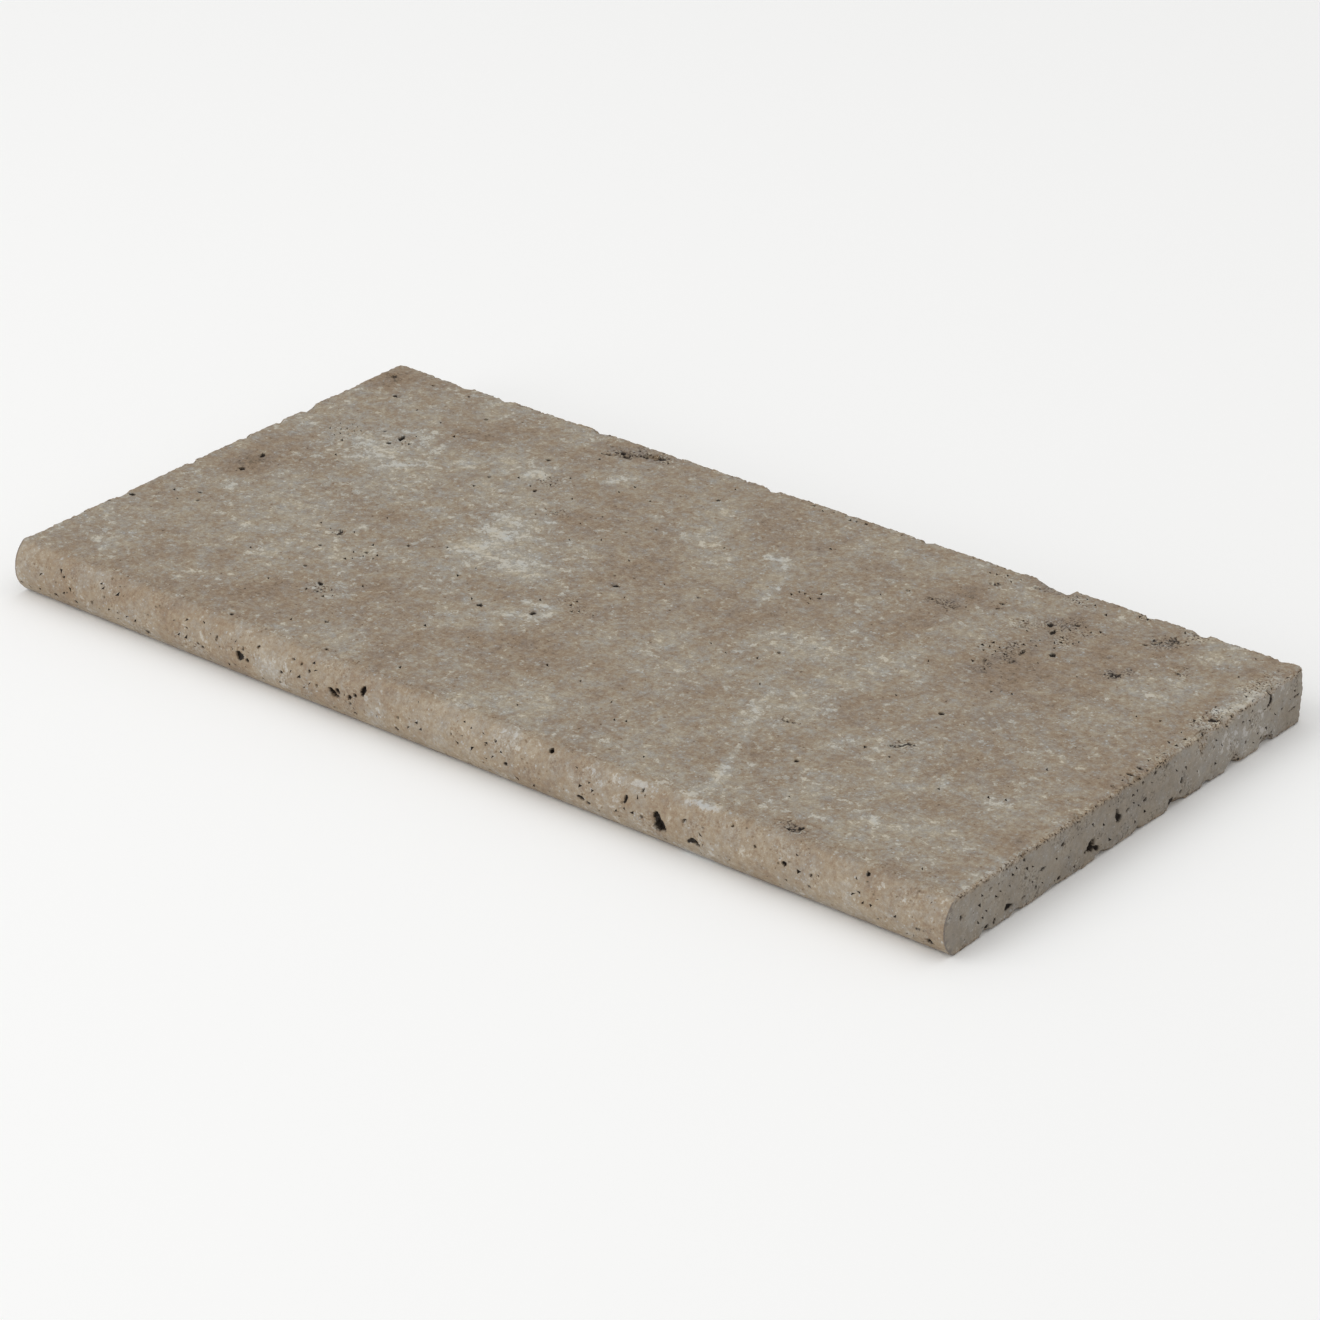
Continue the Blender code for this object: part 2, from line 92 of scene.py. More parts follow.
slab = {
    # the first skin's grid has two to this power of cells along the slab, 2.7 mm each, which are halved
    # along the arrises and once more where they crumble
    "grid": 8,
    "gridShare": 0.895,  # share of the grid that the slab's length fills
    "mergeWithin": 0.002 * mm,
    "bedFaces": 3000,
    "bedSkin": 0.3 * mm,  # what lies this close to the bed's plane, and further in than its margin, is bed
    "bedMargin": 9 * mm,
    "arrisBand": 3.8 * mm,  # the skin is split finer this near to an arris
    "crumbBand": 2.4 * mm,  # and finer still this near to the top's back and right arrises
    "noseDepth": 8 * mm,  # how far the nose stands out past its top and bottom arrises
    "spike": 0.66,  # a corner further than this share of its edges from its neighbours' middle is a spike
    "spikeSweeps": 3,
    "spikeEase": 0.8,  # how far back a spike is drawn in a sweep
    "crisp": 38.0,  # degrees: a sharper bend than this in the skin shows as an edge
    "stray": 0.55 * mm,  # each corner of the skin strays this far, so that no row of pores shows its grid
    "seed": 7,
}
# what tumbling and working did to the surface; a pair in metres is where a soft edge starts and ends
wear = {
    "coarse": 3.6 * mm,  # grain of the crumble
    "fine": 1.8 * mm,
    "broad": 26 * mm,  # length of the ripple
    "arrisReach": (1.5 * mm, 6 * mm),  # the tumbled roughness fades as it runs in from an arris
    "arrisCrumble": 0.45 * mm,
    "arrisMix": (0.8, 0.45, 0.35),  # shares of coarse and fine grain, and the stone that is lost all along
    "noseCrumble": 0.2,  # share of the crumble that the nose's own arrises get, which stay crisp
    "offNose": (0.4 * mm, 2.4 * mm),
    "chipDepth": (0.5 * mm, 1.5 * mm),
    "chipCrumble": 0.60 * mm,
    "chipMix": (0.7, 0.5),
    "bite": 0.9 * mm,  # deepest of the small bites that make the top's arrises jagged
    "biteSize": 2.3 * mm,
    "biteReach": 0.6 * mm,  # full bites run in this far, and fade up to the crumb band
    "biteEdge": (0.0, 0.5),
    "biteGroup": 15 * mm,  # bites come in groups, this far apart
    "groupEdge": (-0.15, 0.35),
    "loneBite": 0.25,  # share of a bite's depth between groups
    "topRipple": 0.09 * mm,
    "noseRipple": 0.10 * mm,
    "sawnRipple": 0.12 * mm,
    "rippleGrain": 0.45,
}
noseChord = (high.z - low.z) / 2
noseRadius = (noseChord ** 2 + slab["noseDepth"] ** 2) / (2 * slab["noseDepth"])
noseCentre = (low.y + noseRadius, (low.z + high.z) / 2)


def faceDistances(points):
    # depth below each of the slab's unworn faces: top, bed, left, right, back, nose
    x, y, z = points.T
    fromNose = noseRadius - np.hypot(y - noseCentre[0], z - noseCentre[1])
    fromNose = np.where(y < noseCentre[0], fromNose, noseRadius)
    return np.stack([high.z - z, z - low.z, x - low.x, high.x - x, high.y - y, fromNose], axis=1)


def smoothStep(values, start, end):
    t = np.clip((values - start) / (end - start), 0, 1)
    return t * t * (3 - 2 * t)


def fractalAt(points, size, seed, octaves=4, rough=0.8):
    # fractal noise with features of the given size in metres, about -1 to 1
    shift = Vector((seed * 3.7, seed * 1.3, seed * 2.9))
    scale = 1 / size
    return np.array([noise.fractal(Vector(p) * scale + shift, rough, 2.1, octaves) for p in points])


def coordinates(mesh):
    found = np.empty(len(mesh.vertices) * 3, np.float32)
    mesh.vertices.foreach_get("co", found)
    return found.reshape(-1, 3).astype(np.float64)


def readValues(mesh, name):
    found = np.empty(len(mesh.vertices), np.float32)
    mesh.attributes[name].data.foreach_get("value", found)
    return found


def storeValues(mesh, name, values):
    stored = mesh.attributes.get(name) or mesh.attributes.new(name, 'FLOAT', 'POINT')
    stored.data.foreach_set("value", values.astype(np.float32))


def nodeCopy(nodeName, pieceName):
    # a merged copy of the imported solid, which itself stays as it is
    bm = bmesh.new()
    bm.from_mesh(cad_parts[nodeName].data)
    bmesh.ops.remove_doubles(bm, verts=bm.verts, dist=slab["mergeWithin"])
    mesh = bpy.data.meshes.new(pieceName)
    bm.to_mesh(mesh)
    bm.free()
    piece = bpy.data.objects.new(pieceName, mesh)
    bpy.context.scene.collection.objects.link(piece)
    return piece


def bakeModifiers(piece):
    # swaps the piece's mesh for the one its modifiers make
    depsgraph = bpy.context.evaluated_depsgraph_get()
    made = bpy.data.meshes.new_from_object(piece.evaluated_get(depsgraph))
    piece.modifiers.clear()
    piece.data = made


def editMesh(piece, *steps):
    # runs each step on the piece's mesh as a bmesh
    bm = bmesh.new()
    bm.from_mesh(piece.data)
    for step in steps:
        step(bm)
    bm.to_mesh(piece.data)
    bm.free()


def triangulateRest(bm):
    bmesh.ops.triangulate(bm, faces=[face for face in bm.faces if len(face.verts) > 3])


def dropFlaps(bm):
    # the splitting leaves a few flat pairs of triangles on the same three corners, back to back
    bm.verts.index_update()
    byCorners = {}
    for face in bm.faces:
        byCorners.setdefault(frozenset(vert.index for vert in face.verts), []).append(face)
    flaps = [face for twins in byCorners.values() if len(twins) > 1 for face in twins[len(twins) % 2:]]
    bmesh.ops.delete(bm, geom=flaps, context='FACES')


def atArrises(points):
    return np.sort(faceDistances(points), axis=1)[:, 1] < slab["arrisBand"]


def atCrumbs(points):
    # the top's and the nose's arrises on the back and the right end, which the photo shows crumbling
    band = slab["crumbBand"]
    faces = faceDistances(points)
    near = np.sort(faces, axis=1)[:, 1] < band
    near &= (faces[:, 0] < band) | (faces[:, 5] < band)
    near &= np.minimum(faces[:, 3], faces[:, 4]) < band
    return near & (points[:, 0] > low.x + slab["arrisBand"])


def splitArrises(bm):
    # halves the edges of the skin along the arrises, and once more where they crumble
    for isNear, gridFill in ((atArrises, True), (atCrumbs, False)):
        bm.verts.index_update()
        near = isNear(np.array([vert.co for vert in bm.verts]))
        split = [edge for edge in bm.edges if near[edge.verts[0].index] and near[edge.verts[1].index]]
        bmesh.ops.subdivide_edges(bm, edges=split, cuts=1, use_grid_fill=gridFill)
        triangulateRest(bm)


def easeSpikes(bm):
    # a corner that stands far out from all its neighbours is drawn back among them
    for sweep in range(slab["spikeSweeps"]):
        bm.normal_update()
        eased = []
        for vert in bm.verts:
            others = [edge.other_vert(vert).co for edge in vert.link_edges]
            middle = sum(others, Vector()) / len(others)
            reach = sum(edge.calc_length() for edge in vert.link_edges) / len(others)
            if (vert.co - middle).length > slab["spike"] * reach:
                eased.append((vert, middle))
        for vert, middle in eased:
            vert.co = vert.co.lerp(middle, slab["spikeEase"])


def thinBed(piece):
    # the bed is flat and lies hidden, so it needs few faces
    points = coordinates(piece.data)
    depths = np.sort(faceDistances(points), axis=1)
    onBed = (points[:, 2] < low.z + slab["bedSkin"]) & (depths[:, 1] > slab["bedMargin"])
    group = piece.vertex_groups.new(name="bed")
    group.add(np.flatnonzero(onBed).tolist(), 1.0, 'REPLACE')
    triangles = len(piece.data.polygons) * 2
    thin = piece.modifiers.new("thin bed", 'DECIMATE')
    thin.vertex_group = "bed"
    thin.ratio = (triangles - 2 * int(onBed.sum()) + slab["bedFaces"]) / triangles
    bakeModifiers(piece)
    piece.vertex_groups.clear()


def roughenSkin(piece):
    # tumbled crumble along the arrises and in the chips, faint ripple on the worked faces
    points = coordinates(piece.data)
    normals = np.empty(len(points) * 3, np.float32)
    piece.data.vertices.foreach_get("normal", normals)
    normals = normals.reshape(-1, 3)
    faces = faceDistances(points)
    depths = np.sort(faces, axis=1)
    nearest = np.argmin(faces, axis=1)
    atArris = 1 - smoothStep(depths[:, 1], *wear["arrisReach"])
    inChip = smoothStep(depths[:, 0], *wear["chipDepth"])
    offNose = smoothStep(faces[:, 5], *wear["offNose"])
    coarse = fractalAt(points, wear["coarse"], slab["seed"], 4, 0.6)
    fine = fractalAt(points, wear["fine"], slab["seed"] + 1, 3, 0.6)
    broad = fractalAt(points, wear["broad"], slab["seed"] + 2, 3)

    coarseShare, fineShare, loss = wear["arrisMix"]
    crumble = wear["arrisCrumble"] * atArris * (coarseShare * coarse + fineShare * fine - loss)
    crumble *= wear["noseCrumble"] + (1 - wear["noseCrumble"]) * offNose
    coarseShare, fineShare = wear["chipMix"]
    crumble += wear["chipCrumble"] * inChip * (coarseShare * coarse + fineShare * fine)

    atCrumb = 1 - smoothStep(depths[:, 1], wear["biteReach"], slab["crumbBand"])
    atCrumb = atCrumb * (faces[:, 0] < slab["crumbBand"]) * offNose
    bites = smoothStep(fractalAt(points, wear["biteSize"], slab["seed"] + 3, 3, 0.6), *wear["biteEdge"])
    groups = smoothStep(fractalAt(points, wear["biteGroup"], slab["seed"] + 4, 3), *wear["groupEdge"])
    bites *= wear["loneBite"] + (1 - wear["loneBite"]) * groups
    crumble -= wear["bite"] * atCrumb * bites
    storeValues(piece.data, "bitten", atCrumb * bites)

    ripples = np.array([wear["topRipple"], 0.0] + [wear["sawnRipple"]] * 3 + [wear["noseRipple"]])
    ripple = ripples[nearest] * (broad + wear["rippleGrain"] * coarse)
    stray = np.random.default_rng(slab["seed"]).uniform(-1, 1, points.shape) * slab["stray"]
    stray -= normals * (stray * normals).sum(axis=1)[:, None]
    moved = points + stray * (1 - atArris)[:, None]
    moved += normals * (crumble + ripple * (1 - atArris))[:, None]
    moved = np.clip(moved, np.array(low), np.array(high))
    piece.data.vertices.foreach_set("co", moved.astype(np.float32).ravel())
    piece.data.update()


def slabSkin():
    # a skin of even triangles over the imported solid, coarse on the bed and fine along the arrises
    piece = nodeCopy("coping_stone", "travertine_slab")
    solid = nodeCopy("coping_stone", "solid_guide")
    remesh = piece.modifiers.new("skin", 'REMESH')
    remesh.mode = 'SHARP'
    remesh.octree_depth = slab["grid"]
    remesh.scale = slab["gridShare"]
    bakeModifiers(piece)
    thinBed(piece)
    editMesh(piece, splitArrises, dropFlaps)
    wrap = piece.modifiers.new("wrap", 'SHRINKWRAP')
    wrap.target = solid
    wrap.wrap_method = 'NEAREST_SURFACEPOINT'
    bakeModifiers(piece)
    bpy.data.objects.remove(solid)
    roughenSkin(piece)
    editMesh(piece, easeSpikes)
    return piece


stone = slabSkin()
print("slab skin:", len(stone.data.polygons), "faces")


# Clouding, listed where the real slab shows it

clouding = {
    "warpSize": 11 * mm,
    "warp": 7 * mm,
    # centre x, y from the middle of the slab, reach x, y in mm, strength: above 0 pale, below 0 brown
    "patches": (
        (-235, 76, 26, 18, 0.9), (-226, 46, 42, 24, 0.8), (-197, 2, 18, 18, 0.6), (-245, 0, 15, 8, 0.6),
        (-115, 30, 22, 15, 0.9), (-81, -2, 34, 18, 1.2), (-105, -38, 20, 20, 0.6), (-149, -54, 16, 18, 0.7),
        (-133, -86, 12, 16, 0.7), (-285, -106, 24, 26, 0.8), (-268, -26, 20, 12, 0.5),
        (-213, -22, 20, 14, 0.5), (-219, -56, 10, 9, 0.9), (195, -42, 28, 17, 0.6), (227, -6, 22, 16, 0.35),
        (139, -34, 24, 20, 0.45), (75, -126, 26, 14, 0.5), (200, -120, 34, 20, 0.25), (87, 62, 12, 10, 0.4),
        (-109, 110, 12, 7, 0.7), (-145, 86, 14, 10, 0.7), (-297, 62, 12, 14, 0.6), (-29, 84, 14, 10, 0.5),
        (250, -100, 24, 20, 0.1), (-60, 30, 24, 12, 0.4), (-180, 104, 26, 12, 0.3), (44, -20, 30, 16, 0.3),
        (110, 10, 26, 16, 0.3), (-284, 0, 16, 16, -0.9), (-163, 8, 15, 13, -0.8), (-165, -106, 20, 13, -0.8),
        (-9, 34, 44, 20, -0.7), (-62, -40, 12, 26, -0.6), (7, -74, 38, 24, -0.5), (119, 118, 20, 14, -0.5),
        (287, 76, 16, 50, -0.6), (292, -84, 14, 44, -0.5), (163, -46, 5, 18, -0.6), (-85, 106, 26, 16, -0.4),
        (-298, 138, 14, 14, -0.7), (-264, 100, 20, 14, -0.5), (210, 80, 36, 30, -0.4),
        (60, 110, 40, 20, -0.3), (-45, 60, 16, 10, -0.5), (300, 87, 7, 16, 1.7), (302, 61, 5, 9, 1.5),
        (298, 112, 10, 18, 0.9), (306, 100, 3, 55, 1.3), (303, -105, 3, 40, 1), (165, 110, 9, 4, 1.1),
        (201, 91, 8, 5, 1), (262, 77, 16, 3, 0.9), (262, 97, 12, 5, 0.7), (257, 146, 9, 3, 0.9),
        (173, 142, 6, 4, 0.9),
    ),
    # pale veins and lime marks: x, y of both ends, half width in mm, strength
    "veins": (
        (112, -38, 137, -94, 2.4, 1), (137, -94, 151, -130, 3, 1.5), (151, -130, 149, -143, 4, 1.2),
        (149, -146.2, 158, -145.2, 1.6, 3), (158, -145.2, 168, -143.8, 1.8, 2.2), (27, 80, 40, 69, 2.2, 0.8),
        (40, 69, 51, 28, 2.4, 0.9), (232, -52, 238, -64, 2.2, 1.4), (228, -106, 234, -109, 2, 1.6),
        (16, 85, 32, 82, 2.4, 1.6), (-53, -56, -40, -49, 2.2, 1.4), (-47, -36, -31, -33, 2.2, 1.6),
        (-33, -51, -29, -39, 1.8, 1.4), (-149, 81, -141, 87, 3, 1.3), (-164, 12, -158, 18, 2.4, 1.3),
        (-148, 15, -140, 16, 2.4, 1.1), (-114, 17, -105, 17, 3, 1.2), (-99, 22, -89, 23, 2.6, 1.2),
        (-126, 34, -112, 32, 4, 1), (-247, 76, -226, 93, 4, 0.8), (-267, 60, -242, 62, 5, 0.8),
        (-176, -28, -172, -20, 3, 1.2), (-110, 101, -100, 114, 2.2, 1.3), (-122, 100, -117, 103, 2.4, 1.2),
        (-211, 127, -206, 135, 3, 1), (-193, 132, -183, 135, 2.4, 1), (-213, 49, -208, 53, 2.6, 1.3),
        (-187, 72, -177, 70, 3, 1), (-102, 42, -96, 47, 1.8, 1.4), (-53, 8, -51, 14, 3, 1),
        (-130, -95, -123, -86, 3, 1), (-79, -4, -66, -10, 7, 0.6), (-114, -10, -104, 5, 6, 0.6),
        (-62, 84, -59, 84, 2.4, 1.2), (90, -148.9, 128, -147.5, 3, 0.9), (34, -148, 42, -148, 3.6, 0.9),
        (211, -149.6, 217, -149.6, 3, 0.8), (-257, -147.7, -241, -148.3, 3, 1),
        (-179, -152.4, -154, -152.1, 3, 0.8), (-127, -152.5, -109, -151.7, 3, 0.8),
        (-51, -152.4, -45, -152.4, 3, 0.9), (247, -151, 253, -151, 3, 0.8),
    ),
    # darker, greyer stone: x, y, reach x, y in mm, strength
    "shades": (
        (215, 10, 11, 20, 0.6), (183, 110, 12, 14, 0.7), (179, 60, 8, 18, 0.6), (187, 82, 8, 12, 0.5),
        (155, 146, 14, 6, 0.8), (235, 134, 12, 8, 0.7), (125, 98, 14, 6, 0.6), (147, 114, 7, 6, 0.6),
        (-118, 139, 18, 5, 1.3), (-133, 84, 8, 12, 0.5), (237, 86, 7, 6, 0.9), (198, -40, 6, 8, 0.5),
        (-150, 66, 20, 8, 0.3), (-196, 106, 14, 8, 0.3), (207, -137, 7, 6, 0.9), (140, -54, 7, 4, 0.6),
    ),
    # rough crumbly stone, black and white at close quarters, its black partly painted shade in the voids
    # between crumbs: x, y, reach x, y in mm, strength
    "crumbly": (
        (-130, 134, 8, 5, 0.9), (-116, 141, 10, 4, 1.3), (-105, 144, 8, 4, 1.4), (-133, 84, 7, 9, 0.6),
        (130, 141, 8, 4, 0.8), (157, 148, 7, 4, 1.3), (173, 143, 7, 5, 0.9), (210, 148, 7, 3, 1.2),
        (243, 149, 5, 3, 1), (231, 129, 5, 5, 1.2), (239, 134, 7, 5, 1.2), (236, 86, 5, 4, 1.1),
        (260, 106, 5, 4, 0.8), (181, 110, 12, 9, 0.9), (199, 116, 7, 5, 0.8), (167, 102, 6, 5, 0.6),
        (196, 97, 7, 7, 0.8), (180, 83, 6, 8, 0.8), (172, 74, 7, 6, 0.7), (184, 68, 5, 7, 0.8),
        (178, 55, 6, 6, 0.7), (120, 97, 12, 4, 0.8), (197, -40, 6, 7, 0.9), (140, -54, 7, 4, 0.8),
        (207, -137, 7, 6, 1.1), (-105, 56, 6, 5, 0.6), (-151, -50, 9, 9, 0.5), (-140, -90, 9, 6, 0.7),
        (-22, -26, 14, 9, 0.5), (-178, -34, 6, 5, 0.6), (296, 120, 6, 22, 0.6), (298, 78, 5, 14, 0.9),
        (300, 30, 4, 30, 0.5), (240, 146, 8, 4, 0.8), (-265, 62, 9, 9, 0.4), (-232, 70, 7, 10, 0.5),
        (20, 147, 30, 3, 0.4), (60, 60, 8, 8, 0.3),
    ),
}


# Pits and pores

pitting = {
    "finest": 0.5 * mm,  # the skin is split this fine round a pit
    "slack": 1.6,  # an edge of up to this many times the finest stays whole
    "fineShare": 0.2,  # round a wide pit the skin is split to this share of its reach
    "splitReach": 1.25,  # how far round a pit that goes, in reaches of the pit
    "splitSweeps": 3,
    "sinkReach": 1.5,  # how far round a pit corners are pushed in at most
    # a pit's rim: how ragged, as a share of its size, the grain of that, where it starts, how wide it is
    "rim": 0.38,
    "rimGrain": 0.84,
    "rimEdge": 1.12,
    "rimWidth": 0.42,
    "floor": 0.25,  # how uneven its floor is
    "shallow": 1.3,  # mm: a pit no deeper than this is crumbly and not all dark
    "crumbMix": (0.62, 1.5),  # how dark that is, and how much its crumbs change it
    "crumbSize": 1.3 * mm,
    "darkEdge": 1.6,
    "shadeAndDirtByDepth": (0.25, 0.55),  # painted shade and dirt in a pit: the least dark, and how much darker for each mm of depth
    "seed": 41,
    # x and y from the middle of the slab, wide, tall, deep in mm, and by how many degrees it is turned
    "walking": (
        (-234.6, 75.9, 2.8, 7, 3, 24), (-235.6, 66.1, 2.4, 3, 2.2, 10), (-247.8, 76.5, 1.7, 2, 1.5),
        (-279.6, 11.5, 2.6, 5, 2.5, 28), (-276, -8.1, 4.6, 2.8, 2.5, -30), (-23.4, 8.1, 4.2, 2.9, 2.4, 8),
        (-31.6, 16.5, 1.6, 1.6, 1.2), (-64.2, -52.9, 2.9, 3.5, 2, 15), (-152, 104.1, 2.8, 2.4, 2.2),
        (-275, 116.3, 4.4, 3.4, 1.2, 20), (-269, 140.3, 2, 1.8, 1.5), (-214.4, 123.9, 2.4, 3, 1.3, 10),
        (-295.4, 136.5, 5, 4, 1.1), (-132, 69.5, 1.8, 3, 1.8, 20), (-163, 67.5, 2, 2, 1.5),
        (-139.4, -23.9, 1.9, 2.5, 1.8, 20), (-178, -35.5, 3, 4.6, 1.2, 20), (-180, -32.5, 3.6, 2.2, 1, -20),
        (-47, 121.9, 2.4, 2.4, 1.4), (-145, -85.5, 4.8, 2.2, 1.8, -30), (-140, -92.5, 5.5, 4.4, 0.7),
        (-165.6, -75.5, 2.4, 1.6, 1.6, -20), (-272, -44.9, 3, 1.6, 1.5), (-265.8, -52.9, 1.9, 1.9, 1.5),
        (-299, -69.5, 4, 2.5, 1.6), (-151, -43.9, 2.3, 1.9, 1.6), (-176.4, -52.5, 1.9, 1.9, 1.5),
        (-49.8, 72.9, 1.7, 1.6, 1.2), (-105, 55.1, 5.6, 4.6, 0.5), (-36, -43.5, 2.9, 4, 2, 10),
        (-112, -116.5, 2.2, 2.2, 1.6), (-91, -138.9, 2.2, 2.2, 1.6), (-156, -140.1, 2.2, 2.2, 1.4),
        (129.4, 132.1, 6.8, 3.8, 1.2, 20), (145, 115.5, 3, 1.9, 1.5), (146.4, 109.5, 1.8, 1.8, 1.3),
        (177.8, 111.5, 2.9, 3.5, 2, 20), (183.4, 106.1, 2.3, 4.8, 1.8, 10), (189.4, 119.1, 3, 2, 1.5),
        (198.6, 84.1, 2.9, 4.9, 2.2, 30), (230.8, 128.5, 6, 6.4, 0.9), (237.8, 134.5, 6.8, 8.6, 0.9),
        (235.8, 85.5, 6.2, 5, 1.2), (259, 106.1, 3.8, 3.6, 0.8), (192.4, -1.3, 2.9, 2.9, 2.4),
        (299.8, 75.9, 5.2, 3.4, 2), (299.8, 12.5, 3.8, 2, 1.5), (299.8, 4.5, 3.8, 2, 1.5),
        (299.8, -10.5, 2.2, 2.2, 1.3), (195.8, -40, 2.6, 10.5, 0.9, -25), (199, -36.5, 6, 2.8, 0.9, 12),
        (193, -43.5, 3.2, 3, 1.1), (137.8, -54.5, 7.6, 2.3, 1.2, 8), (207, -136.9, 8, 7, 0.8),
        (209, -135, 3, 2.6, 1.6), (204.6, -139, 2.6, 2.2, 1.5), (166.8, -84.5, 2.3, 3, 1.6),
        (89.4, 0.5, 1.9, 1.9, 1.5), (18.8, 23.9, 2.9, 2.6, 0.7), (120, 96.5, 4, 2, 0.9),
        (113, 97, 5, 1.8, 0.9, 6), (127, 96, 4.2, 1.6, 0.8, -8), (98, 97.5, 2.6, 2, 1),
        (185, 76.5, 2, 6, 1.1, 12), (187, 65.5, 2.4, 5, 1, -10), (175, 58.5, 2.2, 5.2, 1, 20),
        (168, 101.1, 3, 4.4, 0.9), (148, 141.5, 5.4, 2.2, 1), (160, 149, 5, 2.2, 1),
        (-107, 143.4, 9, 5, 2.8, 12), (-112, 141.2, 6, 3.4, 2, 24), (-116, 139.6, 5, 2.2, 1.2, 25),
        (-126, 137, 4, 3, 2), (-123, 138.4, 3, 1.6, 1.1, 20), (-130.5, 130.3, 4.4, 2.4, 1.7, 20),
        (-134, 129.2, 3.6, 1.4, 1, -15), (-127.6, 132, 2.6, 1.6, 1, 30), (-136, 139.4, 2.2, 1.8, 1.3),
        (-131, 141.2, 4, 1.4, 0.9, 12), (-120, 144.2, 2.6, 1.4, 0.8), (-102, 146.4, 3.4, 2, 1.2, 10),
        (-60, 60, 1.7, 1.5, 1.2),
    ),
    # x, then the share of the nose's arc from its top arris to its bottom one
    "nose": (
        (-139.8, 0.48, 5.4, 4.6, 2.4, 20), (-134.4, 0.50, 2, 1.8, 1.6), (-137.8, 0.35, 1.3, 2, 1.2),
        (-166.5, 0.58, 1.8, 1.6, 1.5), (-169.6, 0.55, 2.1, 1.7, 1.3, 20), (-156.6, 0.35, 2, 4, 0.9, 10),
        (-128, 0.24, 1.6, 2.5, 1.2, 20), (-110.6, 0.48, 1.6, 1.6, 1.4), (-260, 0.68, 2, 1.8, 1.4),
        (-247, 0.56, 1.6, 2.5, 1.3, 10), (-238, 0.39, 1.4, 1.4, 1), (-227.8, 0.57, 1.4, 1.3, 1.1),
        (-275.6, 0.71, 3, 2, 1.5), (-302, 0.73, 2, 1.9, 1.3), (-208, 0.74, 5, 3, 0.7),
        (-205, 0.41, 8, 1.3, 0.5, 4), (-74.9, 0.48, 7, 3.6, 3.4, 22), (-72, 0.42, 3.4, 2.2, 2.4, 35),
        (-55.6, 0.28, 3.4, 5, 3.2, 12), (-63.6, 0.45, 2.5, 2, 1.9), (-60, 0.39, 2, 2, 1.8),
        (-63.4, 0.55, 1.5, 1.5, 1.3), (-86, 0.47, 1.4, 1.6, 1.3), (-31, 0.47, 1.6, 1.6, 1.3),
        (-32.9, 0.68, 2.2, 2.1, 1.6), (-75.5, 0.77, 3, 2.2, 1.2), (-61, 0.71, 2.5, 2.1, 1.2),
        (65.3, 0.10, 2.7, 2.6, 2.6), (40, 0.53, 2.2, 1.9, 1.6), (87.6, 0.61, 5.4, 2.3, 1.7, 10),
        (92, 0.65, 2.5, 2, 1.7), (12.6, 0.87, 4, 3, 0.7), (32, 0.26, 1.4, 1.3, 1.1),
        (136.2, 0.55, 4.6, 7.6, 4, 6), (138.6, 0.58, 5, 3.6, 3.4, -14), (134.4, 0.40, 2.6, 4, 2.6, 30),
        (156.1, 0.60, 5.6, 3, 1.9, -32), (115.6, 0.35, 2, 4.2, 1.5, 12), (123.8, 0.15, 1.4, 2.5, 1.2),
        (125.9, 0.52, 2, 1.9, 0.9), (151, 0.35, 1.5, 1.5, 1.2), (178.6, 0.16, 1.4, 1.4, 1.2),
        (194, 0.31, 1.4, 1.4, 1.2), (257.5, 0.10, 2, 1.9, 1.8), (295.9, 0.74, 4.6, 3.8, 2.8, 30),
        (291.5, 0.57, 8, 1.6, 0.6, -4), (-92, 0.30, 1.6, 1.5, 1.2), (-98, 0.24, 1.4, 1.8, 1.1),
        (-104, 0.22, 1.7, 1.3, 1.1), (4, 0.40, 1.5, 1.4, 1.1), (228, 0.40, 1.4, 1.3, 1.1),
    ),
    # y, then z above the bed, on the right end
    "rightEnd": (
        (-34.5, 9.5, 5.8, 6.2, 3.4, 20), (-30, 6.6, 5.4, 2.6, 2.2, -35), (-101.9, 6.5, 6, 3, 2.4),
        (-12.9, 16.9, 3, 7, 1.8, 10), (-11, 14.6, 3.4, 3.4, 2.2), (-74.5, 14.9, 3.7, 1.6, 2),
        (-89, 26, 1.8, 1.6, 1.4), (-116.5, 23.1, 2.5, 1.3, 1.3, 10), (-138.5, 17.7, 2.1, 2.4, 1.8),
        (-58.5, 21.1, 2.4, 1.9, 1.5), (-88.5, 16.1, 1.5, 1.5, 1.2), (-39.5, 8.4, 1.9, 1.9, 1.4),
        (-4.5, 16.1, 2.9, 2.6, 0.8), (-118.5, 3.6, 3, 2.4, 1.7), (-112.5, 4.2, 2, 3.5, 1.6),
        (-89.5, 6.5, 3, 1.3, 1.2), (42.8, 12.1, 2.7, 3, 2.3), (18.5, 26.6, 2, 1.8, 1.4),
        (8, 25.6, 1.5, 1.5, 1.2), (120.5, 25.8, 3, 3.6, 1.8), (103.5, 16.5, 1.7, 1.6, 1.3),
        (131.5, 14.9, 1.7, 1.6, 1.3), (99, 9.9, 1.5, 1.5, 1.2), (41.5, 6.5, 2.5, 1.6, 1.4),
        (144.5, 17.1, 6, 1, 1), (141, 11, 7, 0.9, 0.9, 6), (-107, 22.6, 1.2, 1.1, 0.9),
        (-110, 22.9, 1.1, 1, 0.9), (33.5, 4.5, 5, 3.6, 1.4), (70, 19, 1.5, 1.4, 1),
    ),
    # by the seeded draw: how many small pits each face gets, how many places on it are tried for
    # one-face pores, and the bounds of both
    "drawnPits": {"walking": 12, "nose": 6, "rightEnd": 8, "leftEnd": 14, "back": 36, "bed": 10},
    "pores": {"walking": 620, "nose": 240, "rightEnd": 120, "leftEnd": 180, "back": 360},
    "bounds": {"walking": (-300, 300, -142, 148), "bed": (-298, 298, -138, 146),
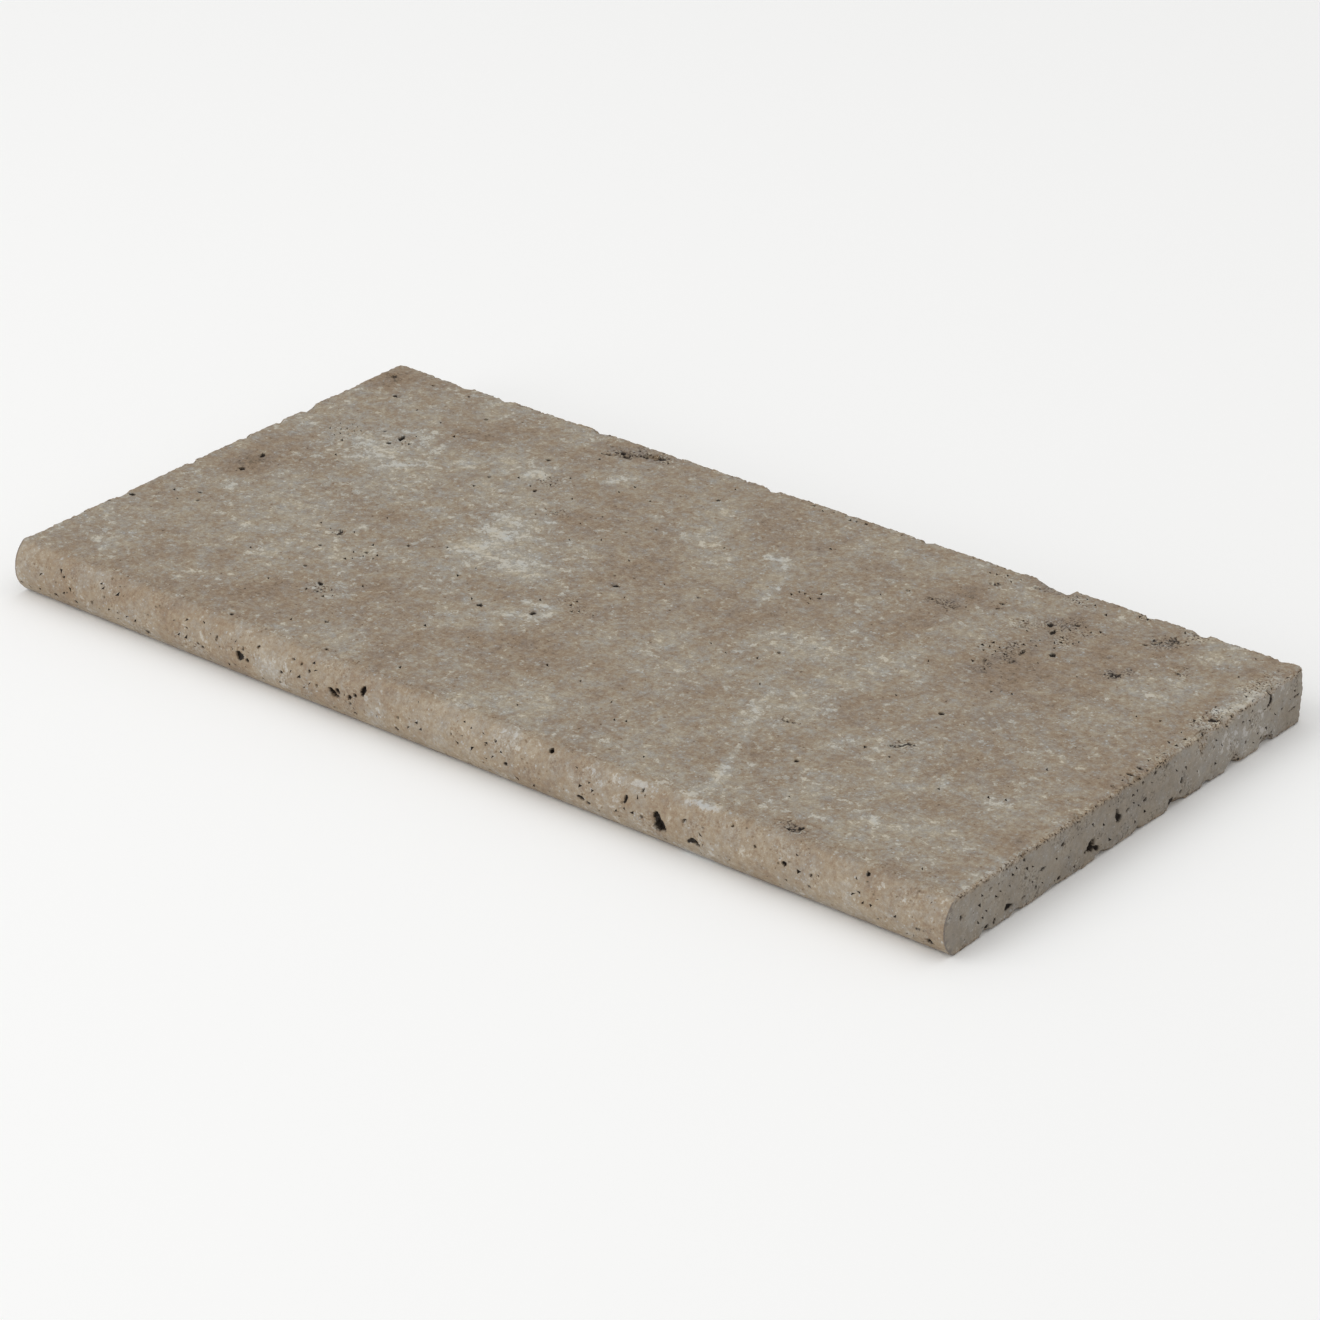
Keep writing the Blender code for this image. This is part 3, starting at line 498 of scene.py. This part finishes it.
               "nose": (-300, 300, 0.04, 0.82), "rightEnd": (-138, 148, 3, 27),
               "leftEnd": (-138, 148, 3, 27), "back": (-300, 300, 3, 27)},
    "inCrumbly": 0.62,  # share of the walking face's pores that lie in its crumbly stone
    "crowdSize": 16 * mm,  # elsewhere they crowd where a noise of this size is high
    "crowding": 1.7,
    "crowdStray": (-0.6, 0.5),
    "crowdLimit": 0.22,
    "smallPit": (0.9, 2.0),  # width in mm
    "widePit": (2.0, 3.2),
    "smallShare": 0.8,
    "tallShare": (0.55, 1.5),
    "deepShare": (0.5, 0.85),
    "poreFacing": 0.8,  # a pore's face looks at least this straight out
    "poreArea": 0.35 * mm * mm,
    "poreInsets": (0.52, 0.64, 0.73, 0.80, 0.86),
    "poreDeep": 0.75 * mm,
    "poreDepths": (0.6, 1.3),
    "poreShadeAndDirt": 0.9,
}


def faceSpots(face, first, second):
    # a point on one of the slab's faces, the way into the stone there, and the two ways across it
    if face in ("walking", "bed"):
        side = 1 if face == "walking" else -1
        place = Vector((first * mm, second * mm, high.z if side > 0 else low.z))
        return place, Vector((0, 0, -side)), Vector((1, 0, 0)), Vector((0, 1, 0))
    if face in ("rightEnd", "leftEnd"):
        side = 1 if face == "rightEnd" else -1
        place = Vector((high.x * side, first * mm, second * mm))
        return place, Vector((-side, 0, 0)), Vector((0, 1, 0)), Vector((0, 0, 1))
    if face == "back":
        place = Vector((first * mm, high.y, second * mm))
        return place, Vector((0, -1, 0)), Vector((1, 0, 0)), Vector((0, 0, 1))
    half = math.asin(noseChord / noseRadius)
    angle = half * (1 - 2 * second)  # up from level, and the arc's second value is its share from the top
    outward = Vector((0, -math.cos(angle), math.sin(angle)))
    place = Vector((first * mm, *noseCentre)) + outward * noseRadius
    return place, -outward, Vector((1, 0, 0)), Vector((0, -math.sin(angle), -math.cos(angle)))


def drawnSpots(face, count, draw):
    # seeded places on a face, crowded together in crumbly stone and where a slow noise is high
    bounds = pitting["bounds"][face]
    spots = []
    while len(spots) < count:
        first, second = draw.uniform(bounds[0], bounds[1]), draw.uniform(bounds[2], bounds[3])
        if face == "walking" and draw.random() < pitting["inCrumbly"]:
            x, y, reachX, reachY = draw.choice(clouding["crumbly"])[:4]
            first = min(max(draw.gauss(x, reachX / 2), bounds[0]), bounds[1])
            second = min(max(draw.gauss(y, reachY / 2), bounds[2]), bounds[3])
            spots.append((first, second))
            continue
        place = faceSpots(face, first, second)[0]
        crowd = noise.fractal(place / pitting["crowdSize"], 0.7, 2.0, 3)
        if pitting["crowding"] * crowd + draw.uniform(*pitting["crowdStray"]) > pitting["crowdLimit"]:
            spots.append((first, second))
    return spots


def pitRows():
    # every pit as its face, centre and size, listed ones first
    draw = random.Random(pitting["seed"])
    rows = [(face, *row, 0)[:7] for face in ("walking", "nose", "rightEnd") for row in pitting[face]]
    for face, count in pitting["drawnPits"].items():
        for first, second in drawnSpots(face, count, draw):
            widths = pitting["smallPit"] if draw.random() < pitting["smallShare"] else pitting["widePit"]
            wide = draw.uniform(*widths)
            tall = wide * draw.uniform(*pitting["tallShare"])
            deep = wide * draw.uniform(*pitting["deepShare"])
            rows.append((face, first, second, wide, tall, deep, draw.uniform(-90, 90)))
    return rows


def splitRoundPits(bm, spots):
    # halves the edges of the skin that are too long for a pit beside them
    tree = KDTree(len(spots))
    for index, (spot, reach) in enumerate(spots):
        tree.insert(spot[0], index)
    tree.balance()
    widest = max(reach for spot, reach in spots)
    for sweep in range(pitting["splitSweeps"]):
        split = []
        for edge in bm.edges:
            middle = (edge.verts[0].co + edge.verts[1].co) / 2
            length = edge.calc_length()
            if length <= pitting["finest"] * pitting["slack"]:
                continue
            for place, index, gap in tree.find_range(middle, pitting["splitReach"] * widest + length / 2):
                reach = spots[index][1]
                isClose = gap < pitting["splitReach"] * reach + length / 2
                if isClose and length > max(pitting["finest"], pitting["fineShare"] * reach):
                    split.append(edge)
                    break
        bmesh.ops.subdivide_edges(bm, edges=split, cuts=1)
        triangulateRest(bm)


def sinkPit(bm, near, number, row, spot):
    # pushes the skin in along the pit's own way into the stone, inside a ragged rim, and stores the pit's
    # painted shade and dirt, darker the deeper it goes
    wide, tall, deep, turn = row[3:]
    (place, inward, across, along), reach = spot
    pore = bm.verts.layers.float["pore"]
    turned = math.radians(turn)
    across, along = (across * math.cos(turned) + along * math.sin(turned),
                     along * math.cos(turned) - across * math.sin(turned))
    for co, index, gap in near.find_range(place, reach * pitting["sinkReach"] + deep * mm):
        vert = bm.verts[index]
        offset = vert.co - place
        height = offset.dot(inward)
        grain = vert.co / (pitting["rimGrain"] * reach) + Vector((number * 1.7, 0, 0))  # its own rim
        ragged = noise.fractal(grain, 0.6, 2.1, 3)
        spread = math.hypot(offset.dot(across) / (wide / 2 * mm), offset.dot(along) / (tall / 2 * mm))
        spread += pitting["rim"] * ragged
        share = min(max((pitting["rimEdge"] - spread) / pitting["rimWidth"], 0), 1)
        if share > 0:
            sunk = deep * mm * share * (1 + pitting["floor"] * ragged)
            vert.co += inward * max(sunk - max(height, 0), 0)
            crumbs = 1
            if deep <= pitting["shallow"]:
                crumbs = noise.fractal(vert.co / pitting["crumbSize"], 0.7, 2.1, 2)
                crumbs = pitting["crumbMix"][0] + pitting["crumbMix"][1] * crumbs
            # the pit is darkened with painted shade and dirt, more the deeper it is
            darkest = min(pitting["shadeAndDirtByDepth"][0] + pitting["shadeAndDirtByDepth"][1] * deep, 1)
            vert[pore] = max(vert[pore], min(share * pitting["darkEdge"], 1) * darkest * crumbs)


def sinkPits(bm):
    # every listed and drawn pit, the skin being split finer round each first
    bmesh.ops.triangulate(bm, faces=bm.faces)
    rows = pitRows()
    spots = [(faceSpots(*row[:3]), max(row[3], row[4]) / 2 * mm) for row in rows]
    splitRoundPits(bm, spots)
    dropFlaps(bm)
    bm.verts.layers.float.new("pore")
    bm.verts.ensure_lookup_table()
    near = KDTree(len(bm.verts))
    for vert in bm.verts:
        near.insert(vert.co, vert.index)
    near.balance()
    for number, (row, spot) in enumerate(zip(rows, spots)):
        sinkPit(bm, near, number, row, spot)


def poreFaces(bm, draw):
    # the face of the skin under each drawn pore, none touching another, with its way into the stone
    tree = KDTree(len(bm.faces))
    for face in bm.faces:
        tree.insert(face.calc_center_median(), face.index)
    tree.balance()
    chosen = {}
    taken = set()
    for name, count in pitting["pores"].items():
        for first, second in drawnSpots(name, count, draw):
            place, inward = faceSpots(name, first, second)[:2]
            face = bm.faces[tree.find(place)[1]]
            corners = {vert.index for vert in face.verts}
            facesOut = face.normal.dot(-inward) > pitting["poreFacing"]
            if not corners & taken and facesOut and face.calc_area() > pitting["poreArea"]:
                taken |= corners
                chosen[face] = inward
    return chosen


def sinkPores(bm):
    # one-face pores: a face is inset and its middle pushed in, and its floor gets painted shade and dirt
    pore = bm.verts.layers.float["pore"]
    draw = random.Random(pitting["seed"] + 1)
    bm.faces.ensure_lookup_table()
    chosen = poreFaces(bm, draw)
    insetBy = {share: [] for share in pitting["poreInsets"]}
    for face in chosen:
        insetBy[draw.choice(pitting["poreInsets"])].append(face)
    for share, faces in insetBy.items():
        inradius = np.median([2 * face.calc_area() / face.calc_perimeter() for face in faces])
        bmesh.ops.inset_individual(bm, faces=faces, thickness=share * inradius, depth=0)
    inwards = list(chosen.values())
    floors = bmesh.ops.extrude_discrete_faces(bm, faces=list(chosen))["faces"]
    for floor, inward in zip(floors, inwards):
        depth = pitting["poreDeep"] * draw.uniform(*pitting["poreDepths"])
        for vert in floor.verts:
            vert.co += inward * depth
            vert[pore] = pitting["poreShadeAndDirt"]
    triangulateRest(bm)
    dropFlaps(bm)


editMesh(stone, sinkPits)
print("pits sunk:", len(stone.data.polygons), "faces")
editMesh(stone, sinkPores)
print("pores sunk:", len(stone.data.polygons), "faces")


# The zones that the finish reads

zoning = {
    # a pair in metres is where a zone's soft edge starts and ends
    "noseEdge": (2.5 * mm, 1.5 * mm),  # behind the nose's top arris and before it
    "brokenEdge": (0.9 * mm, 2.6 * mm),
    "brokenRagged": 0.8 * mm,
    "chipEdge": (0.6 * mm, 1.3 * mm),
    "chipReach": 12 * mm,
    "raggedSize": 5 * mm,
    "dotSize": 14 * mm,  # groups of dark dots on the sawn faces and the nose
    "dotEdge": (0.0, 0.4),
    "sawnDots": 0.42,
    "noseDots": 0.30,
    "lineEdge": (0.25 * mm, 0.75 * mm),  # the thin grey line along the nose's own arrises
    "lineReach": 0.8 * mm,
    "lineShade": 2.4,
    "cloudSize": 60 * mm,  # a slow drift under the listed clouding
    "cloudDrift": 0.14,
    "veinStray": 1.4 * mm,
    "limeSize": 24 * mm,
    "crumbMix": (1.1, 0.9),
    "bittenShade": 0.9,
    "bittenCrumb": 1.2,
    "brokenCrumb": 0.4,
    "carvedEdge": (0.8 * mm, 2.6 * mm),  # the deep pits of the solid itself are dark inside with painted shade and dirt
    "carvedMargin": 9 * mm,
    "carvedSize": 1.6 * mm,
    "carvedMix": (0.75, 0.9),
}


def patchField(points, rows):
    x, y = points[:, 0] / mm, points[:, 1] / mm
    total = np.zeros(len(points))
    for across, along, reachX, reachY, strength in rows:
        total += strength * np.exp(-((x - across) / reachX) ** 2 - ((y - along) / reachY) ** 2)
    return total


def veinField(points, rows):
    x, y = points[:, 0] / mm, points[:, 1] / mm
    total = np.zeros(len(points))
    for startX, startY, endX, endY, width, strength in rows:
        runX, runY = endX - startX, endY - startY
        share = np.clip(((x - startX) * runX + (y - startY) * runY) / (runX ** 2 + runY ** 2), 0, 1)
        gap = np.hypot(x - startX - share * runX, y - startY - share * runY)
        total = np.maximum(total, strength * np.exp(-(gap / width) ** 2))
    return total


def storeZones(piece):
    points = coordinates(piece.data)
    faces = faceDistances(points)
    depths = np.sort(faces, axis=1)
    ragged = fractalAt(points, zoning["raggedSize"], 61, 3)
    warped = points.copy()
    for axis in range(2):
        warped[:, axis] += clouding["warp"] * fractalAt(points, clouding["warpSize"], 30 + axis, 3)

    arris = low.y + slab["noseDepth"]
    behind, before = zoning["noseEdge"]
    nose = smoothStep(-points[:, 1], -(arris + behind), -(arris - before))
    sawn = np.isin(np.argmin(faces, axis=1), (1, 2, 3, 4)).astype(float)
    broken = 1 - smoothStep(depths[:, 1] + zoning["brokenRagged"] * ragged, *zoning["brokenEdge"])
    broken *= smoothStep(faces[:, 5], *wear["offNose"])
    chips = smoothStep(depths[:, 0], *zoning["chipEdge"]) * (depths[:, 1] < zoning["chipReach"])
    broken = np.maximum(broken, chips)

    bitten = readValues(piece.data, "bitten")
    noseLine = 1 - smoothStep(depths[:, 1], *zoning["lineEdge"])
    noseLine = noseLine * (faces[:, 5] < zoning["lineReach"]) * (faces[:, 0] > mm)
    shade = patchField(warped, clouding["shades"])
    # the bites along the top's arrises and a thin line along the nose's own arrises are drawn darker and
    # greyer
    shade += zoning["bittenShade"] * bitten * (1 + ragged) + zoning["lineShade"] * noseLine

    cloud = patchField(warped, clouding["patches"])
    cloud = cloud + zoning["cloudDrift"] * fractalAt(points, zoning["cloudSize"], 51, 4)
    cloud = cloud + veinField(points + zoning["veinStray"] * ragged[:, None], clouding["veins"])

    dotted = smoothStep(fractalAt(points, zoning["dotSize"], 63, 3), *zoning["dotEdge"])
    dotted *= np.maximum(zoning["sawnDots"] * sawn, zoning["noseDots"] * nose)
    base, byRagged = zoning["crumbMix"]
    crumbly = np.clip(patchField(warped, clouding["crumbly"]) * (base + byRagged * ragged), 0, 1)
    edges = zoning["bittenCrumb"] * bitten + zoning["brokenCrumb"] * broken + dotted
    crumbly = np.maximum(crumbly * (1 - sawn), np.minimum(edges, 1))

    # painted shade and dirt inside the solid's own deep pits, broken up by noise
    base, byNoise = zoning["carvedMix"]
    carvedShadeAndDirt = smoothStep(depths[:, 0], *zoning["carvedEdge"]) * (depths[:, 1] > zoning["carvedMargin"])
    carvedShadeAndDirt *= base + byNoise * fractalAt(points, zoning["carvedSize"], 62, 2)
    pore = np.maximum(readValues(piece.data, "pore"), carvedShadeAndDirt)
    lime = fractalAt(points, zoning["limeSize"], 52, 3)
    zones = {"cloud": cloud, "shade": shade, "lime": lime, "nose": nose, "sawn": sawn, "broken": broken,
             "crumbly": crumbly, "pore": pore}
    for name, values in zones.items():
        storeValues(piece.data, name, values)


storeZones(stone)
print("zones stored")


# Travertine finish

finish = {
    # colours from the darkest stone to the whitest lime, by tone: the honed top, the nose, the sawn faces
    "honed": ((0.0, "#473E35"), (0.10, "#6E6253"), (0.22, "#837363"), (0.38, "#8E7F70"), (0.50, "#95897B"),
              (0.60, "#9B9388"), (0.72, "#A29C92"), (0.84, "#ADA89D"), (1.0, "#C4BFB3")),
    "rubbed": ((0.0, "#42382D"), (0.10, "#6A5F50"), (0.22, "#847564"), (0.38, "#917F6D"), (0.50, "#988B7A"),
               (0.60, "#9E9283"), (0.72, "#A69D90"), (0.84, "#AFA79D"), (1.0, "#BDB8AF")),
    "sawn": ((0.0, "#3E3830"), (0.10, "#655D54"), (0.22, "#7C7369"), (0.38, "#898177"), (0.50, "#928A80"),
             (0.60, "#989188"), (0.72, "#9F9990"), (0.84, "#A8A29A"), (1.0, "#BCB6B0")),
    # stone laid bare by a break, and greyer stone: tint and strength
    "tints": {"broken": ("#A38C70", 0.38), "shade": ("#7B7470", 0.35)},
    # painted shade and dirt inside pits and pores, and painted shade in the voids between crumbs
    "pore": "#2A221B",
    "warmWash": "#FAF2E3",  # iron-stained stone, over the tone's colours
    "coolWash": "#ECF3FD",
    # clouds of 42 mm, with octaves down to mottling of 5 mm, and grain of 3.2 mm down to 0.4 mm
    "clouds": {"Scale": 1 / (42 * mm), "Detail": 3.0, "Roughness": 0.72},
    "grain": {"Scale": 1 / (3.2 * mm), "Detail": 3.0, "Roughness": 0.9},
    "limeNoise": {"Scale": 1 / (5.0 * mm), "Detail": 4.0, "Roughness": 0.62},
    "hueNoise": {"Scale": 1 / (10 * mm), "Detail": 4.0, "Roughness": 0.85},
    "crumbs": {"Scale": 1 / (1.3 * mm), "Detail": 1.5, "Roughness": 0.7},
    # how the patterns turn to tone, which runs from 0 to 1
    "cloudTone": {"From Min": 0.30, "From Max": 0.70, "To Min": 0.34, "To Max": 0.74, "clamp": False},
    "grainTone": {"From Min": 0.28, "From Max": 0.72, "To Min": -0.32, "To Max": 0.32, "clamp": False},
    "crumbTone": {"From Min": 0.40, "From Max": 0.62, "To Min": -0.42, "To Max": 0.36},
    "setCloud": 0.17,  # what the listed clouding adds
    "setShade": -0.14,
    # rubbing and sawing leave an evener ground than honing: the nose's share, how much, towards what
    "noseWorked": 0.35,
    "calm": 0.45,
    "calmTone": 0.50,
    # the grain bends the marks by this much, so that none is round
    "bend": (2.2 * mm, -1.8 * mm, 2 * mm),
    # white lime lies where its noise and these shares of the zones come past its edge
    "limeBy": {"lime": 0.07, "cloud": 0.07, "broken": 0.07},
    "limeByWorked": -0.08,
    "limeEdge": {"interpolation_type": 'SMOOTHSTEP', "From Min": 0.610, "From Max": 0.645},
    "limeTone": 0.30,
    # specks: spacing, widest share of it, tone of a light one and of a dark one. Real ones go down to 0.2 mm,
    # and the finer ones here are drawn as coarse as a pixel shows.
    "specks": ((2.5 * mm, 0.46, 0.30, -0.34), (1.5 * mm, 0.50, 0.28, -0.34)),
    "speckCore": 0.4,
    "lightSpecks": {"From Min": 0.36, "From Max": 0.56, "To Min": 0.42, "To Max": 0.04},
    "darkSpecks": {"To Min": 0.90, "To Max": 0.60},
    "brokenCrumbs": 0.45,
    # painted shade: the voids between crumbs are darkened where the crumbs noise is low
    "crumbVoid": {"interpolation_type": 'SMOOTHSTEP', "From Min": 0.41, "From Max": 0.36},
    "voidEdge": {"interpolation_type": 'SMOOTHSTEP', "From Min": 0.10, "From Max": 0.85},
    "hueByCloud": -0.03,
    "hueByMarks": -0.55,
    "warmEdge": {"From Min": 0.24, "From Max": 0.57},
    "relief": 0.24 * mm,
    "roughness": {"To Min": 0.68, "To Max": 0.56},  # of the honed and sawn faces, and of the nose
    "ior": 1.5,
    "specular": 0.35,
}


def limeMarks(tree, zone, worked, bent):
    # how much white lime there is: most in pale clouds and on broken stone, least on worked faces
    lime = addNode(tree, "TexNoise", finish["limeNoise"], {"Vector": bent})
    for name, share in finish["limeBy"].items():
        lime = addNode(tree, 'MULTIPLY_ADD', {1: share}, {0: zone[name], 2: lime})
    lime = addNode(tree, 'MULTIPLY_ADD', {1: finish["limeByWorked"]}, {0: worked, 2: lime})
    return addNode(tree, "MapRange", finish["limeEdge"], {"Value": lime})


def addSpecks(tree, marks, hue, crumbHere, bent):
    # light specks crowd where the stone is cool and limy, dark ones where it is crumbly
    lightShare = addNode(tree, "MapRange", finish["lightSpecks"], {"Value": hue})
    darkShare = addNode(tree, "MapRange", finish["darkSpecks"], {"Value": crumbHere})
    for pitch, radius, light, dark in finish["specks"]:
        near = addNode(tree, "TexVoronoi", {"Scale": 1 / pitch}, {"Vector": bent})
        draw = addNode(tree, "SeparateColor", links={0: near.node.outputs["Color"]})
        edge = addNode(tree, 'MULTIPLY', {1: radius}, {0: draw.node.outputs[1]})
        core = addNode(tree, 'MULTIPLY', {1: finish["speckCore"]}, {0: edge})
        spot = addNode(tree, "MapRange", {"interpolation_type": 'SMOOTHSTEP', "To Min": 1.0, "To Max": 0.0},
                       {"Value": near, "From Min": core, "From Max": edge})
        isLight = addNode(tree, 'LESS_THAN', links={0: draw, 1: lightShare})
        isDark = addNode(tree, 'GREATER_THAN', links={0: draw, 1: darkShare})
        push = addNode(tree, 'MULTIPLY', {1: light}, {0: isLight})
        push = addNode(tree, 'MULTIPLY_ADD', {1: dark}, {0: isDark, 2: push})
        marks = addNode(tree, 'MULTIPLY_ADD', links={0: spot, 1: push, 2: marks})
    return marks


def stoneColour(tree, zone, tone):
    # the tone's colour on the face that it lies on, tinted where the stone is broken or grey
    honed, rubbed, sawn = [addNode(tree, "ValToRGB", {"stops": finish[name]}, {0: tone})
                           for name in ("honed", "rubbed", "sawn")]
    colour = addNode(tree, "Mix", {"data_type": 'RGBA'}, {0: zone["nose"], 6: honed, 7: rubbed}, out=2)
    colour = addNode(tree, "Mix", {"data_type": 'RGBA'}, {0: zone["sawn"], 6: colour, 7: sawn}, out=2)
    for name, (tint, strength) in finish["tints"].items():
        amount = addNode(tree, 'MULTIPLY', {"use_clamp": True, 1: strength}, {0: zone[name]})
        colour = addNode(tree, "Mix", {"data_type": 'RGBA', 7: tint}, {0: amount, 6: colour}, out=2)
    return colour


def darkenVoids(tree, zone, colour, crumbs, crumbHere):
    # painted shade and dirt darken pores and pits inside, and painted shade darkens the voids between crumbs,
    # which are too small to model
    void = addNode(tree, "MapRange", finish["crumbVoid"], {"Value": crumbs})
    void = addNode(tree, 'MULTIPLY', links={0: void, 1: crumbHere})
    void = addNode(tree, 'MAXIMUM', links={0: void, 1: zone["pore"]})
    dark = addNode(tree, "MapRange", finish["voidEdge"], {"Value": void})
    return addNode(tree, "Mix", {"data_type": 'RGBA', 7: finish["pore"]}, {0: dark, 6: colour}, out=2)


def washHue(tree, zone, colour, hue, marks, calm):
    # pale clouds and white marks are cool, brown stone and dark marks warm
    for source, share in ((zone["cloud"], finish["hueByCloud"]), (marks, finish["hueByMarks"])):
        hue = addNode(tree, 'MULTIPLY_ADD', {1: share}, {0: source, 2: hue})
    warmth = addNode(tree, "MapRange", finish["warmEdge"], {"Value": hue})
    warmth = addNode(tree, "Mix", {"data_type": 'FLOAT', 3: 0.5}, {0: calm, 2: warmth})
    wash = addNode(tree, "Mix", {"data_type": 'RGBA', 6: finish["coolWash"], 7: finish["warmWash"]},
                   {0: warmth}, out=2)
    return addNode(tree, "Mix", {"data_type": 'RGBA', "blend_type": 'MULTIPLY', 0: 1.0},
                   {6: colour, 7: wash}, out=2)


def honedTravertine():
    # travertine, honed then tumbled: matte, clouded brown and grey, white lime flecks, tiny pores darkened
    # with painted shade and dirt
    material = bpy.data.materials.new("travertine_honed_tumbled")
    material.use_nodes = True
    tree = material.node_tree
    shader = tree.nodes["Principled BSDF"]
    place = addNode(tree, "TexCoord", out="Object")
    zone = {name: addNode(tree, "Attribute", {"attribute_name": name}, out="Fac")
            for name in ("cloud", "shade", "lime", "nose", "sawn", "broken", "crumbly", "pore")}
    clouds = addNode(tree, "TexNoise", finish["clouds"], {"Vector": place})
    grain = addNode(tree, "TexNoise", finish["grain"], {"Vector": place})
    crumbs = addNode(tree, "TexNoise", finish["crumbs"], {"Vector": place})
    bent = addNode(tree, "VectorMath", {"operation": 'MULTIPLY_ADD', 1: finish["bend"]},
                   {0: grain, 2: place})
    hue = addNode(tree, "TexNoise", finish["hueNoise"], {"Vector": bent})
    worked = addNode(tree, 'MULTIPLY_ADD', {1: finish["noseWorked"]}, {0: zone["nose"], 2: zone["sawn"]})
    calm = addNode(tree, 'MULTIPLY', {1: finish["calm"]}, {0: worked})
    crumbHere = addNode(tree, 'MULTIPLY_ADD', {"use_clamp": True, 1: finish["brokenCrumbs"]},
                        {0: zone["broken"], 2: zone["crumbly"]})

    ground = addNode(tree, "MapRange", finish["cloudTone"], {"Value": clouds})
    grainTone = addNode(tree, "MapRange", finish["grainTone"], {"Value": grain})
    ground = addNode(tree, 'ADD', links={0: ground, 1: grainTone})
    ground = addNode(tree, 'MULTIPLY_ADD', {1: finish["setCloud"]}, {0: zone["cloud"], 2: ground})
    ground = addNode(tree, "Mix", {"data_type": 'FLOAT', 3: finish["calmTone"]}, {0: calm, 2: ground})
    lime = limeMarks(tree, zone, worked, bent)
    marks = addNode(tree, 'MULTIPLY', {1: finish["limeTone"]}, {0: lime})
    marks = addSpecks(tree, marks, hue, crumbHere, bent)
    tone = addNode(tree, 'ADD', links={0: ground, 1: marks})
    crumbTone = addNode(tree, "MapRange", finish["crumbTone"], {"Value": crumbs})
    tone = addNode(tree, 'MULTIPLY_ADD', links={0: crumbHere, 1: crumbTone, 2: tone})
    tone = addNode(tree, 'MULTIPLY_ADD', {1: finish["setShade"]}, {0: zone["shade"], 2: tone})

    colour = stoneColour(tree, zone, tone)
    colour = darkenVoids(tree, zone, colour, crumbs, crumbHere)
    colour = washHue(tree, zone, colour, hue, marks, calm)
    tree.links.new(colour, shader.inputs["Base Color"])
    relief = addNode(tree, 'MULTIPLY_ADD', links={0: crumbHere, 1: crumbs, 2: grain})
    bump = addNode(tree, "Bump", {"Strength": 1.0, "Distance": finish["relief"]}, {"Height": relief})
    tree.links.new(bump, shader.inputs["Normal"])
    matte = addNode(tree, "MapRange", finish["roughness"], {"Value": zone["nose"]})
    tree.links.new(matte, shader.inputs["Roughness"])
    shader.inputs["IOR"].default_value = finish["ior"]
    shader.inputs["Specular IOR Level"].default_value = finish["specular"]
    return material


stone.data.materials.clear()
stone.data.materials.append(honedTravertine())
stone.data.shade_smooth()
stone.data.set_sharp_from_angle(angle=math.radians(slab["crisp"]))
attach(stone, "root")
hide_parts("coping_stone")
print("travertine finish on")


# Floor, light and camera

stage = {
    "floorSize": 12.0,
    "floorColour": "#FBFBFA",
    "floorRoughness": 0.9,
    "skyColour": "#FFFFFF",
    "skyStrength": 0.60,
    # softboxes: place, size in metres, watts
    "softboxes": {
        "key": ((-2.2, -2.8, 3.4), 3.2, 56.0),
        "overhead": ((0.4, 0.7, 4.2), 5.0, 48.0),
        "fill": ((-1.2, -4.6, 1.0), 2.4, 46.0),
    },
}


def buildFloor():
    bm = bmesh.new()
    bmesh.ops.create_grid(bm, x_segments=1, y_segments=1, size=stage["floorSize"] / 2)
    mesh = bpy.data.meshes.new("floor")
    bm.to_mesh(mesh)
    bm.free()
    floor = bpy.data.objects.new("floor", mesh)
    bpy.context.scene.collection.objects.link(floor)
    # matte white paper: it takes the soft shadow under the slab and gives no gloss
    material = bpy.data.materials.new("pale_paper")
    material.use_nodes = True
    shader = material.node_tree.nodes["Principled BSDF"]
    shader.inputs["Base Color"].default_value = toLinear(stage["floorColour"])
    shader.inputs["Roughness"].default_value = stage["floorRoughness"]
    mesh.materials.append(material)


def addSoftbox(name, place, size, power):
    data = bpy.data.lights.new(name, 'AREA')
    data.shape = 'SQUARE'
    data.size = size
    data.energy = power
    lamp = bpy.data.objects.new(name, data)
    lamp.location = place
    lamp.rotation_mode = 'QUATERNION'
    lamp.rotation_quaternion = (-Vector(place)).to_track_quat('-Z', 'Y')
    bpy.context.scene.collection.objects.link(lamp)


def buildSky():
    world = bpy.data.worlds.new("studio")
    world.use_nodes = True
    sky = world.node_tree.nodes["Background"]
    sky.inputs["Color"].default_value = toLinear(stage["skyColour"])
    sky.inputs["Strength"].default_value = stage["skyStrength"]
    bpy.context.scene.world = world
    bpy.context.scene.view_settings.view_transform = 'Standard'


view = {
    "place": (1.3747, -1.6485, 1.0969),
    "toward": (-0.566975, 0.686012, -0.455990),
    "roll": -0.41,  # degrees, the photograph's horizon
    "lens": 127.24,
    "sensor": 36.0,
}


def buildCamera():
    data = bpy.data.cameras.new("camera")
    data.lens = view["lens"]
    data.sensor_width = view["sensor"]
    camera = bpy.data.objects.new("camera", data)
    camera.location = view["place"]
    aim = Vector(view["toward"]).to_track_quat('-Z', 'Y').to_matrix().to_4x4()
    turned = aim @ Matrix.Rotation(math.radians(view["roll"]), 4, 'Z')
    camera.rotation_mode = 'QUATERNION'
    camera.rotation_quaternion = turned.to_quaternion()
    bpy.context.scene.collection.objects.link(camera)
    bpy.context.scene.camera = camera


buildFloor()
for name, settings in stage["softboxes"].items():
    addSoftbox(name, *settings)
buildSky()
buildCamera()
print("stage and camera set")
